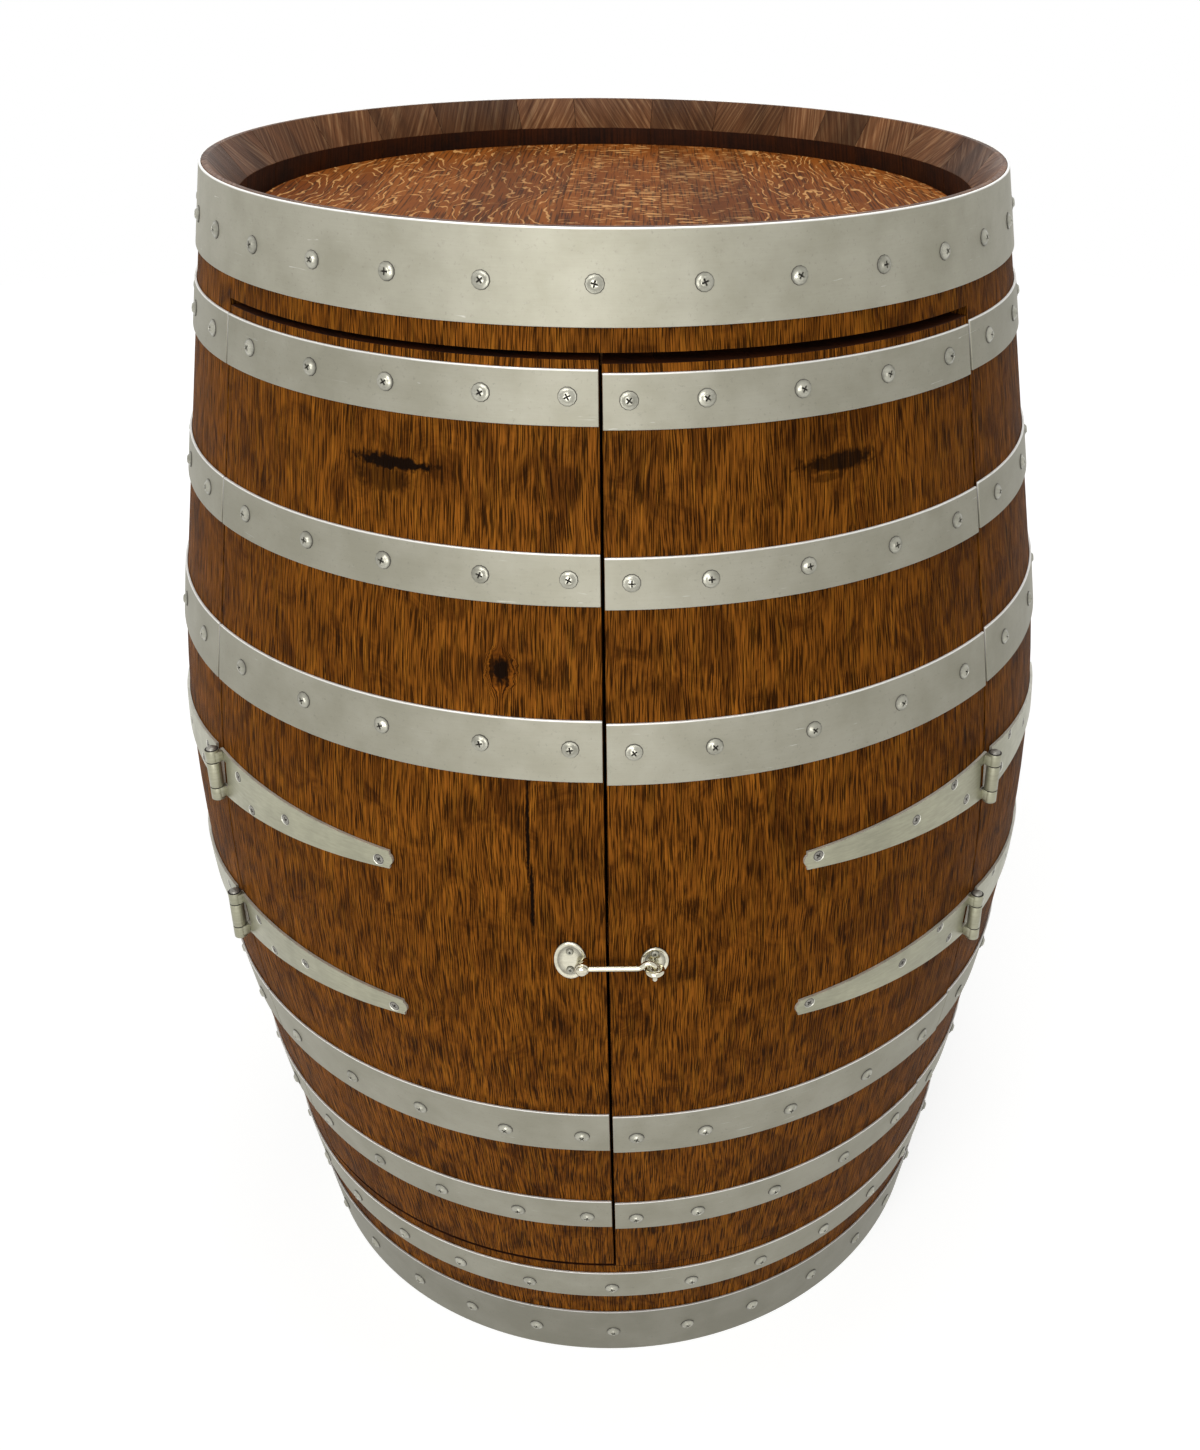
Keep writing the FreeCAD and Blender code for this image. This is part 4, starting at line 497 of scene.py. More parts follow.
@dataclass(frozen=True)
class PlainOak:
    """Shelf, cleats and stop rails: sawn oak boards, oiled and left matt.

    The grain runs along X, and glued boards of slightly different tones follow each other along Y.
    """

    name: str = "oiled_sawn_oak"
    ground: str = "#7A4A20"
    dark: str = "#4C2810"
    pale: str = "#A27440"
    board_width: float = 92.0
    line: Extent = (1000 / 9, 1000 / 300, 1000 / 300)
    relief: float = 0.3

    def material(self) -> Finish:
        """Build the material."""
        sheet = Sheet(self.name)
        place = sheet.add("TexCoord", None, None, "Object")
        lines = sheet.pattern(place, self.line, 4.0, 0.3)
        across = sheet.add("SeparateXYZ", None, {0: place}, "Y")
        boards = sheet.add("Math", {"operation": "DIVIDE"}, {0: across, 1: self.board_width * MM})
        board = sheet.add("Math", {"operation": "FLOOR"}, {0: boards})
        chance = sheet.add("TexWhiteNoise", {"noise_dimensions": "1D"}, {"W": board}, "Value")
        stops = ((0.30, self.dark), (0.5, self.ground), (0.72, self.pale))
        colour = sheet.add("ValToRGB", {"stops": stops}, {"Fac": lines})
        shade = sheet.add("MapRange", None, span(chance, 0.0, 1.0, 0.8, 1.12))
        toned = sheet.add("Mix", TINT, {0: 1.0, 6: colour, 7: shade}, 2)
        gloss = sheet.add("MapRange", None, span(lines, 0.3, 0.7, 0.68, 0.52))
        return sheet.close({"IOR": 1.5, "Specular IOR Level": 0.2}, toned, gloss, lines, self.relief)


@dataclass(frozen=True)
class GalvanisedSteel:
    """Hoops: rolled steel strip, hot dip galvanised and weathered.

    Dull pale grey zinc with a faint cloudiness, scuffs along the band, and bright edges: partly rubbed
    wear, partly a painted highlight along the top edge.
    """

    name: str = "galvanised_steel"
    ground: str = "#A09D8E"
    dull: str = "#949181"
    # Near white: scratches, and bright edges that are partly wear and partly a painted highlight on the top
    # edge.
    worn: str = "#F2F1EC"
    scuff: str = "#807D72"
    worn_and_highlit_width: float = 1.2
    cloud: Extent = (38.0, 38.0, 38.0)
    speck: Extent = (1000 / 420, 1000 / 420, 1000 / 420)
    rolling: Extent = (1000 / 60, 1000 / 60, 1000 / 900)
    scratch: Extent = (1000 / 40, 1000 / 40, 1000 / 700)
    relief: float = 0.06

    def material(self) -> Finish:
        """Build the material."""
        sheet = Sheet(self.name)
        place = sheet.add("TexCoord", None, None, "Object")
        cloud = sheet.pattern(place, self.cloud, 4.0, 0.0, 0.55)
        rolled = sheet.pattern(place, self.rolling, 3.0)
        specks = sheet.pattern(place, self.speck, 3.0, 0.0, 0.7)
        scratches = sheet.pattern(place, self.scratch, 1.0, 1.2, 0.5)
        tone, rim = (sheet.add("Attribute", {"attribute_name": name}, None, "Fac")
                     for name in (TONE_AND_PAINTED_LIGHT, RIM))
        clouding = sheet.add("MapRange", None, span(cloud, 0.36, 0.64, 0.0, 1.0))
        ground = sheet.add("Mix", BLEND, {0: clouding, 6: self.dull, 7: self.ground}, 2)
        rolling = sheet.add("MapRange", None, span(rolled, 0.3, 0.7, 0.98, 1.02))
        lined = sheet.add("Mix", TINT, {0: 1.0, 6: ground, 7: rolling}, 2)
        speck = sheet.add("MapRange", None, span(specks, 0.60, 0.72, 0.0, 0.5))
        speckled = sheet.add("Mix", BLEND, {0: speck, 6: lined, 7: self.scuff}, 2)
        scratch = sheet.add("MapRange", None, span(scratches, 0.77, 0.82, 0.0, 0.3))
        scratched = sheet.add("Mix", BLEND, {0: scratch, 6: speckled, 7: self.worn}, 2)
        # Bright edge: partly wear, partly a painted highlight, strongest along the top edge.
        ragged_rim = sheet.add("Math", TIMES_PLUS, {0: cloud, 1: 0.8, 2: rim})
        edge = sheet.add("MapRange", SMOOTH, span(
            ragged_rim, self.worn_and_highlit_width * 0.55, self.worn_and_highlit_width * 1.35, 1.0, 0.0))
        worn_and_highlit_edge = sheet.add("Mix", BLEND, {0: edge, 6: scratched, 7: self.worn}, 2)
        # The tone paints a whole band lighter or darker as light falls on it: painted light and shade.
        shade = sheet.add("MapRange", None, span(tone, -1.0, 1.0, 0.7, 1.3))
        toned = sheet.add("Mix", TINT, {0: 1.0, 6: worn_and_highlit_edge, 7: shade}, 2)
        wear = sheet.add("Math", LESS, {0: cloud, 1: edge})
        gloss = sheet.add("MapRange", None, span(wear, -0.6, 0.7, 0.46, 0.56))
        return sheet.close({"Metallic": 0.5, "Specular IOR Level": 0.3}, toned, gloss, specks, self.relief)


@dataclass(frozen=True)
class PlatedSteel:
    """Straps, screws, rivets and latch: pressed steel with a thin plating.

    Grey with faint clouds and rub marks; how bright and how smooth depends on the piece. Recesses of
    the screws, their feet, the ends of hinge knuckles and the creases of latch plates are darkened and
    dulled: partly old wax and dirt, partly painted shade.
    """

    name: str
    ground: str
    dull: str
    smooth: float
    rough: float
    metallic: float
    cloud_size: float = 14.0
    relief: float = 0.03
    dirt_and_shade_colour: str = "#1C160F"
    rub: Extent = (1000 / 90, 1000 / 90, 1000 / 640)

    def material(self) -> Finish:
        """Build the material."""
        sheet = Sheet(self.name)
        place = sheet.add("TexCoord", None, None, "Object")
        cloud = sheet.pattern(place, (self.cloud_size,) * 3, 4.0)
        rubs = sheet.pattern(place, self.rub, 3.0, 0.0, 0.65)
        colour = sheet.add("ValToRGB", {"stops": ((0.34, self.dull), (0.60, self.ground))}, {"Fac": cloud})
        rubbing = sheet.add("MapRange", None, span(rubs, 0.3, 0.7, 0.88, 1.1))
        lined = sheet.add("Mix", TINT, {0: 1.0, 6: colour, 7: rubbing}, 2)
        # Dirt and painted shade: darker, duller and less metallic where the attribute is set.
        grime = sheet.add("Attribute", {"attribute_name": DIRT_AND_SHADE}, None, "Fac")
        dirtied_and_shaded = sheet.add("Mix", BLEND, {0: grime, 6: lined, 7: self.dirt_and_shade_colour}, 2)
        clean = sheet.add("MapRange", None, span(cloud, 0.3, 0.7, self.rough, self.smooth))
        gloss = sheet.add("Mix", {"data_type": "FLOAT"}, {0: grime, 2: clean, 3: 0.8})
        shine = sheet.add("MapRange", None, span(grime, 0.0, 1.0, self.metallic, 0.0))
        return sheet.close({"Metallic": shine}, dirtied_and_shaded, gloss, rubs, self.relief)


# Zinc on small turned screws: light grey with a soft shine.
BRIGHT_ZINC = PlatedSteel("bright_zinc_plate", "#B1AFA1", "#8E8C7F", 0.24, 0.36, 0.75)
# Bare steel of countersunk screws, pins and rivets: darker, with its shine rubbed away.
WORN_STEEL = PlatedSteel("worn_steel", "#97948B", "#75726B", 0.38, 0.52, 0.6)
# Zinc on the pressed straps and leaves: satin, with broad faint clouds.
SATIN_ZINC = PlatedSteel("satin_zinc_plate", "#A4A28B", "#979580", 0.32, 0.42, 0.6, cloud_size=40.0)
# Edges of the straps: nearly white, a painted highlight where they catch the light.
HIGHLIT_EDGE_ZINC = PlatedSteel("zinc_edge_painted_highlight", "#E4E3D6", "#CFCEC0", 0.30, 0.38, 0.5, cloud_size=20.0)
# Polished chrome on the latch: a mirror with hardly a ripple.
CHROME = PlatedSteel("chrome_plate", "#CFCBB8", "#BDB8A4", 0.08, 0.16, 1.0, cloud_size=6.0, relief=0.004)


@dataclass(frozen=True)
class StudioFloor:
    """Floor: matt board that the camera and mirrors see as white, apart from the shadow on it."""

    name: str = "white_board"
    colour: str = "#A6A6A4"
    near: float = 0.6
    far: float = 1.7
    near_glow: float = 0.8
    far_glow: float = 1.0

    def material(self) -> Finish:
        """Build the material."""
        sheet = Sheet(self.name)
        place = sheet.add("TexCoord", None, None, "Object")
        reach = sheet.add("VectorMath", {"operation": "LENGTH"}, {0: place}, "Value")
        level = sheet.add("MapRange", SMOOTH, span(
            reach, self.near, self.far, self.near_glow, self.far_glow))
        board = sheet.add("BsdfDiffuse", None, {"Color": self.colour})
        camera, mirror = (sheet.add("LightPath", None, None, ray)
                          for ray in ("Is Camera Ray", "Is Glossy Ray"))
        seen = sheet.add("Math", MOST, {0: camera, 1: mirror})
        strength = sheet.add("Math", TIMES, {0: seen, 1: level})
        glow = sheet.add("Emission", None, {"Color": WHITE, "Strength": strength})
        sheet.add("OutputMaterial", None, {"Surface": sheet.add("AddShader", None, {0: board, 1: glow})})
        return sheet.owner


# ---- Shapes ----

def bearing_point(radius: float, bearing: float, height: float) -> Vector:
    """Point at a distance from the barrel's axis, a bearing in degrees and a height over the floor."""
    turn = math.radians(bearing)
    return Vector((radius * math.sin(turn), -radius * math.cos(turn), height))


def bearing_of(point: Vector, near: float) -> float:
    """Bearing of a point in degrees, within half a turn of the bearing near."""
    turn = math.degrees(math.atan2(point.x, -point.y))
    return near + (turn - near + 180) % 360 - 180


def seat_matrix(radius: float, bearing: float, height: float, tilt: float, twist: float) -> Matrix:
    """Place of something that stands on the wall.

    Args:
        radius: Distance of its foot from the barrel's axis.
        bearing: Degrees from the front.
        height: Height over the floor.
        tilt: Degrees that its Z axis, which points out of the wall, leans up.
        twist: Degrees that it is turned about that axis.

    Returns:
        The matrix that moves it there from the origin.
    """
    lean = Matrix.Rotation(math.radians(90 - tilt), 4, "Y")
    return (Matrix.Translation(bearing_point(radius, bearing, height))
            @ Matrix.Rotation(math.radians(bearing - 90), 4, "Z") @ lean
            @ Matrix.Rotation(math.radians(twist), 4, "Z"))


def turned_solid(section: Section, first: float, last: float, step: float) -> Solid:
    """Turn a section about the barrel's axis.

    Args:
        section: Closed outline of (radius, height) points.
        first: Bearing where the solid starts.
        last: Bearing where it ends; a full turn closes on itself.
        step: Largest angle of one face.

    Returns:
        The solid.
    """
    mesh = bmesh.new()
    verts = [mesh.verts.new((radius, 0, height)) for radius, height in section]
    steps = max(1, math.ceil((last - first) / step))
    full = last - first > 359.99
    if full:
        start = [mesh.edges.new(pair) for pair in zip(verts, [*verts[1:], verts[0]])]
    else:
        face = mesh.faces.new(verts)
        start = [face, *face.edges]
    bmesh.ops.rotate(mesh, verts=mesh.verts, cent=(0, 0, 0),
                     matrix=Matrix.Rotation(math.radians(first - 90), 3, "Z"))
    bmesh.ops.spin(mesh, geom=[*start, *verts], cent=(0, 0, 0), axis=(0, 0, 1),
                   angle=math.radians(last - first), steps=steps, use_merge=full)
    bmesh.ops.remove_doubles(mesh, verts=mesh.verts, dist=0.001)
    bmesh.ops.recalc_face_normals(mesh, faces=mesh.faces)
    return mesh


def spun(profile: Section, sides: int) -> Solid:
    """Spin an open profile about Z into a small solid.

    Args:
        profile: (radius, height) points; one at radius 0 closes that end.
        sides: Number of faces round.

    Returns:
        The solid.
    """
    mesh = bmesh.new()
    verts = [mesh.verts.new((radius, 0, height)) for radius, height in profile]
    edges = [mesh.edges.new(pair) for pair in zip(verts, verts[1:])]
    bmesh.ops.spin(mesh, geom=[*verts, *edges], cent=(0, 0, 0), axis=(0, 0, 1),
                   angle=math.tau, steps=sides, use_merge=True)
    bmesh.ops.remove_doubles(mesh, verts=mesh.verts, dist=0.001)
    open_edges = [edge for edge in mesh.edges if len(edge.link_faces) == 1]
    if open_edges:
        bmesh.ops.holes_fill(mesh, edges=open_edges, sides=0)
    bmesh.ops.recalc_face_normals(mesh, faces=mesh.faces)
    return mesh


def soften(mesh: Solid, width: float, segments: int = 2, least: float = 40.0,
           finish: int | None = None) -> None:
    """Bevel the sharp edges of a solid.

    Args:
        mesh: The solid.
        width: Width of the bevel.
        segments: Faces across it.
        least: Smallest angle between faces that counts as sharp.
        finish: Number of the finish for the bevels, or None to keep that of the faces beside them.
    """
    sharp = [edge for edge in mesh.edges
             if len(edge.link_faces) == 2 and edge.calc_face_angle() > math.radians(least)]
    made = bmesh.ops.bevel(mesh, geom=sharp, offset=width, offset_type="OFFSET", affect="EDGES",
                           segments=segments, profile=0.5, material=-1, clamp_overlap=True)
    if finish is not None:
        for face in made["faces"]:
            face.material_index = finish


def fix_corners(mesh: Solid) -> None:
    """Let every face start at its corner furthest front, then furthest left and lowest.

    Bevels leave that open, and the way a flat face with many corners is split depends on it, so its
    shading would change from run to run. Faces lose their finish and grain, so it comes before those.
    """
    for face in list(mesh.faces):
        ring = list(face.verts)
        start = ring.index(min(ring, key=lambda vert: [round(vert.co[axis], 2) for axis in (1, 0, 2)]))
        mesh.faces.remove(face)
        mesh.faces.new([*ring[start:], *ring[:start]])
    mesh.normal_update()


def moved(mesh: Solid, matrix: Matrix) -> Solid:
    """Move a solid and return it."""
    bmesh.ops.transform(mesh, matrix=matrix, verts=mesh.verts)
    return mesh


def point_values(mesh: Solid, name: str, rule: Callable[[Vector], float]) -> None:
    """Store a number at every point of a solid.

    Args:
        mesh: The solid.
        name: Name of the attribute.
        rule: Number from a point's place.
    """
    layer = mesh.verts.layers.float.new(name)
    for vert in mesh.verts:
        vert[layer] = rule(vert.co)


class Piece:
    """Mesh object made of one or more solids."""

    def __init__(self, name: str, body: Body, slot: str, finishes: Sequence[Finish]) -> None:
        """Start an empty piece.

        Args:
            name: Name of the object.
            body: Body that it rides on.
            slot: Material slot of the record that its finish belongs to; kept on the piece but not used.
            finishes: Its materials, in the order that its faces number them.
        """
        self.name = name
        self.body = body
        self.slot = slot
        self.finishes = finishes
        self.mesh = bpy.data.meshes.new(name)
        self.total = bmesh.new()

    def take(self, solid: Solid, smooth_below: float = 20.0) -> None:
        """Add a solid and free it.

        Args:
            solid: The solid, in millimetres.
            smooth_below: Edges with a larger angle stay sharp.
        """
        for face in solid.faces:
            face.smooth = True
        for edge in solid.edges:
            if len(edge.link_faces) == 2 and edge.calc_face_angle() > math.radians(smooth_below):
                edge.smooth = False
        bmesh.ops.scale(solid, vec=(MM, MM, MM), verts=solid.verts)
        part = bpy.data.meshes.new("part")
        solid.to_mesh(part)
        solid.free()
        self.total.from_mesh(part)
        bpy.data.meshes.remove(part)

    def place(self, node: str) -> None:
        """Write the mesh and hang the object in the frame.

        Args:
            node: CAD node that the piece stands for.
        """
        faces = len(self.total.faces)
        self.total.to_mesh(self.mesh)
        self.total.free()
        for finish in self.finishes:
            self.mesh.materials.append(finish)
        made = bpy.data.objects.new(self.name, self.mesh)
        bpy.context.scene.collection.objects.link(made)
        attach(made, self.body.value)
        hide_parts(node)
        log.info("%s: %d faces for %s", self.name, faces, node)


# ---- Barrel wall ----

@dataclass(frozen=True)
class Wall:
    """Curve of the wall: a circular arc round mid height between two cones."""

    height: float = 950.0
    end_radius: float = 290.6
    bilge_radius: float = 355.6
    arc_half: float = 175.0
    thickness: float = 25.0
    chime_land: float = 4.0
    chime_depth: float = 23.0

    @property
    def middle(self) -> float:
        """Mid height."""
        return self.height / 2

    @property
    def taper(self) -> float:
        """Slope of the cones."""
        return (self.bilge_radius - self.end_radius) / (self.middle - self.arc_half / 2)

    @property
    def arc_radius(self) -> float:
        """Radius of the arc."""
        rise = self.bilge_radius - self.end_radius - self.taper * (self.middle - self.arc_half)
        return (self.arc_half ** 2 + rise ** 2) / (2 * rise)

    @property
    def arc_centre(self) -> float:
        """Distance of the arc's centre from the barrel's axis."""
        return self.bilge_radius - self.arc_radius

    def outside(self, height: float) -> float:
        """Find the radius of the outside.

        Args:
            height: Height over the floor.

        Returns:
            Distance from the axis.
        """
        off = abs(height - self.middle)
        if off > self.arc_half:
            return self.end_radius + self.taper * (self.middle - off)
        return self.arc_centre + math.sqrt(self.arc_radius ** 2 - off ** 2)

    def inside(self, height: float) -> float:
        """Find the radius of the inside.

        Args:
            height: Height over the floor.

        Returns:
            Distance from the axis.
        """
        off = abs(height - self.middle)
        radius = self.arc_radius - self.thickness
        if off > self.arc_half * radius / self.arc_radius:
            across = self.thickness * math.sqrt(1 + self.taper ** 2)
            return self.end_radius - across + self.taper * (self.middle - off)
        return self.arc_centre + math.sqrt(radius ** 2 - off ** 2)

    def rows(self, low: float, high: float, step: float) -> list[float]:
        """Heights from low to high, shared out evenly and at most a step apart."""
        count = max(1, math.ceil((high - low) / step))
        return [low + (high - low) * place / count for place in range(count + 1)]

    def section(self, low: float, high: float, step: float = 25.0) -> Section:
        """Outline of a stave; an end at a chime gets its land and bevel.

        Args:
            low: Foot of the stave.
            high: Its top.
            step: Largest distance between two points of it.

        Returns:
            Closed outline, up the outside and down the inside.
        """
        outline = [(self.outside(row), row) for row in self.rows(low, high, step)]
        inner_low, inner_high = low, high
        if high > self.height - 1:
            inner_high = self.height - self.chime_depth
            outline.append((self.end_radius - self.chime_land, high))
        if low < 1:
            inner_low = self.chime_depth
        outline += [(self.inside(row), row) for row in reversed(self.rows(inner_low, inner_high, step))]
        if low < 1:
            outline.append((self.end_radius - self.chime_land, low))
        return outline


@dataclass(frozen=True)
class StavePlace:
    """Where a stave stands: its edges, the middle of the whole stave that it was sawn from, its screws."""

    first: float
    last: float
    middle: float
    number: int
    screw: float

    @property
    def tone(self) -> float:
        """How pale the stave is, from -1 to 1."""
        return random.Random(self.number * 7 + 3).uniform(-1, 1)


@dataclass
class StaveRing:
    """All staves of the barrel, from their widths round the bilge."""

    wall: Wall
    left_door: Sequence[float] = (44.7, 75.1, 68.9, 67.0, 76.9)
    right_door: Sequence[float] = (38.5, 68.3, 73.8, 75.1, 64.5)
    right_side: Sequence[float] = (66, 83, 84, 86, 89, 78)
    back: Sequence[float] = (60, 53, 81, 76, 90, 66, 99, 81)
    left_side: Sequence[float] = (79, 104, 84, 87, 77, 58)
    side_kerf: float = 1.5
    centre_kerf: float = 2.1
    door_low: float = 130.0
    door_high: float = 876.5
    right_door_drop: float = 2.2
    lintel_low: float = 880.5
    sill_high: float = 127.0
    edge_width: float = 0.35
    face_angle: float = 1.6
    end_grain_slant: Point = (58, 84)
    # A gouge high on each door with a bruise under it, a knot, and a long crack in two stretches.
    marks: Sequence[Mark] = (
        Mark(-23.8, 807.5, 64.0, 15.0, point=1.1),
        Mark(-25.2, 797.0, 42.0, 17.0, depth=0.62),
        Mark(27.6, 808.0, 58.0, 10.0, point=-0.4, depth=0.9),
        Mark(26.0, 799.0, 22.0, 6.0, depth=0.5),
        Mark(-11.1, 685.0, 12.0, 23.0, spread=1.9, point=0.3),
        Mark(-8.3, 578.0, 2.5, 88.0),
        Mark(-8.0, 526.0, 2.8, 58.0),
    )
    joints: dict[str, list[float]] = field(default_factory=dict)

    def __post_init__(self) -> None:
        """Share the full circle out over the staves."""
        groups = {"left_door": self.left_door, "right_door": self.right_door,
                  "right_side": self.right_side, "back": self.back, "left_side": self.left_side}
        share = 360 / sum(sum(widths) for widths in groups.values())
        start = {"left_door": 0.0, "right_door": 0.0}
        start["right_side"] = share * sum(self.right_door)
        start["back"] = start["right_side"] + share * sum(self.right_side)
        start["left_side"] = start["back"] + share * sum(self.back)
        for group, widths in groups.items():
            sign = -1 if group == "left_door" else 1
            places = [start[group]]
            for width in widths:
                places.append(places[-1] + sign * share * width)
            self.joints[group] = places

    def angle(self, length: float) -> float:
        """Angle of a length round the bilge, in degrees."""
        return math.degrees(length / self.wall.bilge_radius)

    def door_edge(self, side: Side) -> float:
        """Bearing of the joint where a door meets the side staves."""
        return self.joints[side.body.value][-1]

    def drop(self, side: Side) -> float:
        """How much lower a door hangs than the other one."""
        return self.right_door_drop if side is Side.RIGHT else 0.0

    def whole_places(self, joints: Sequence[float], first_number: int) -> list[StavePlace]:
        """Whole staves between the bearings of joints, numbered from first_number on."""
        return [StavePlace(first, last, (first + last) / 2, number, (first + last) / 2)
                for number, (first, last) in enumerate(zip(joints, joints[1:]), first_number)]

    def body_places(self, group: str) -> list[StavePlace]:
        """Staves of one group, in order round the barrel."""
        return self.whole_places(self.joints[group], FIRST_NUMBERS[group])

    def front_places(self) -> list[StavePlace]:
        """Staves of the front, from left to right, as they were before the doors were sawn out."""
        left, right = self.joints["left_door"], self.joints["right_door"]
        return self.whole_places([*reversed(left[1:]), *right[1:]], 0)

    def grain_places(self) -> list[tuple[Mark, float, float]]:
        """Find the marks on the front staves that they lie on.

        Returns:
            Each mark with the grain coordinates of its middle, once for each stave.
        """
        found = []
        for mark in self.marks:
            radius = self.wall.outside(mark.height)
            half = math.degrees(mark.width / radius)
            for place in self.front_places():
                if place.first - half < mark.bearing < place.last + half:
                    across = math.radians(mark.bearing - place.middle) * radius
                    found.append((mark, place.number + across * MM, mark.height * MM))
        return found

    def door_places(self, side: Side) -> list[StavePlace]:
        """Staves of a door, from the gap outwards.

        Args:
            side: Which door.

        Returns:
            Its staves.
        """
        front = self.front_places()
        centre = len(self.left_door) - 1
        order = range(centre, -1, -1) if side is Side.LEFT else range(centre, len(front))
        gap = self.angle(self.centre_kerf) / 2
        kerf = self.angle(self.side_kerf)
        limit = self.door_edge(side)
        places = []
        for number in order:
            whole = front[number]
            if side is Side.LEFT:
                first = limit + kerf if number == 0 else whole.first
                last = min(whole.last, -gap)
                screw = (whole.first + min(whole.last, 0.0)) / 2
            else:
                first = max(whole.first, gap)
                last = limit - kerf if number == len(front) - 1 else whole.last
                screw = (max(whole.first, 0.0) + whole.last) / 2
            places.append(StavePlace(first, last, whole.middle, number, screw))
        return places

    def stave(self, place: StavePlace, low: float, high: float, drop: float = 0.0) -> Solid:
        """Model one stave with its eased edges, grain and finishes.

        Args:
            place: Where it stands.
            low: Its foot.
            high: Its top.
            drop: How much lower it hangs.

        Returns:
            The stave.
        """
        solid = turned_solid(self.wall.section(low, high), place.first, place.last, self.face_angle)
        soften(solid, self.edge_width)
        middle = place.middle
        grain = solid.loops.layers.uv.new(GRAIN)
        slant = random.Random(place.number).uniform(*self.end_grain_slant)
        slant *= random.Random(place.number + 50).choice((-1, 1))
        turn = Matrix.Rotation(math.radians(slant), 2)
        chime_foot = self.wall.chime_depth + 1
        for face in solid.faces:
            centre = face.calc_center_median()
            out = Vector((centre.x, centre.y, 0)).normalized()
            along = Vector((-out.y, out.x, 0))
            lean = face.normal.dot(out)
            at_chime = not chime_foot <= centre.z <= self.wall.height - chime_foot
            is_end = abs(face.normal.z) > 0.75 or (at_chime and lean < -0.3)
            is_side = abs(face.normal.dot(along)) > 0.8
            # Sawn ends away from the chimes take the dark toasted finish as painted shade.
            if is_end:
                face.material_index = StaveFace.END_CUT if at_chime else StaveFace.TOASTED
            else:
                face.material_index = StaveFace.TOASTED if lean < -0.5 else StaveFace.WAXED
            for loop in face.loops:
                point = loop.vert.co
                radius = math.hypot(point.x, point.y)
                arc = math.radians(bearing_of(point, middle) - middle) * radius
                if is_end:
                    flat = turn @ Vector((arc, point.z - radius))
                    loop[grain].uv = (place.number + flat.x * MM, flat.y * MM)
                elif is_side:
                    loop[grain].uv = (place.number + radius * MM, point.z * MM)
                else:
                    loop[grain].uv = (place.number + arc * MM, point.z * MM)

        def joint_rule(point: Vector) -> float:
            """How deep a point lies in the joint.

            Args:
                point: The point.

            Returns:
                Number from 0 to 1.
            """
            radius = math.hypot(point.x, point.y)
            turned = bearing_of(point, middle)
            off = min(turned - place.first, place.last - turned)
            return max(0.0, 1 - math.radians(off) * radius / self.edge_width)

        point_values(solid, JOINT, joint_rule)
        point_values(solid, TONE_AND_PAINTED_LIGHT, lambda point: place.tone)
        if drop:
            bmesh.ops.translate(solid, verts=solid.verts, vec=(0, 0, -drop))
        return solid

    def build(self, finishes: Sequence[Finish]) -> None:
        """Model and hang every stave.

        Args:
            finishes: The waxed, end cut and toasted finish; the toasted one is also painted shade on the
                sawn ends.
        """
        height = self.wall.height
        for group in FIRST_NUMBERS:
            piece = Piece(group + "_wall", Body.BARREL, "stained_oak", finishes)
            for place in self.body_places(group):
                piece.take(self.stave(place, 0, height))
            piece.place(group + "_staves")
        for name, low, high in (("lintel", self.lintel_low, height), ("sill", 0.0, self.sill_high)):
            piece = Piece(name + "_wall", Body.BARREL, "stained_oak", finishes)
            for place in self.front_places():
                piece.take(self.stave(place, low, high))
            piece.place(name + "_staves")
        for side in Side:
            door = side.body.value
            for order, place in enumerate(self.door_places(side), 1):
                piece = Piece("%s_oak_stave_%d" % (door, order), side.body, "stained_oak", finishes)
                piece.take(self.stave(place, self.door_low, self.door_high, self.drop(side)))
                piece.place("%s_stave_%d" % (door, order))


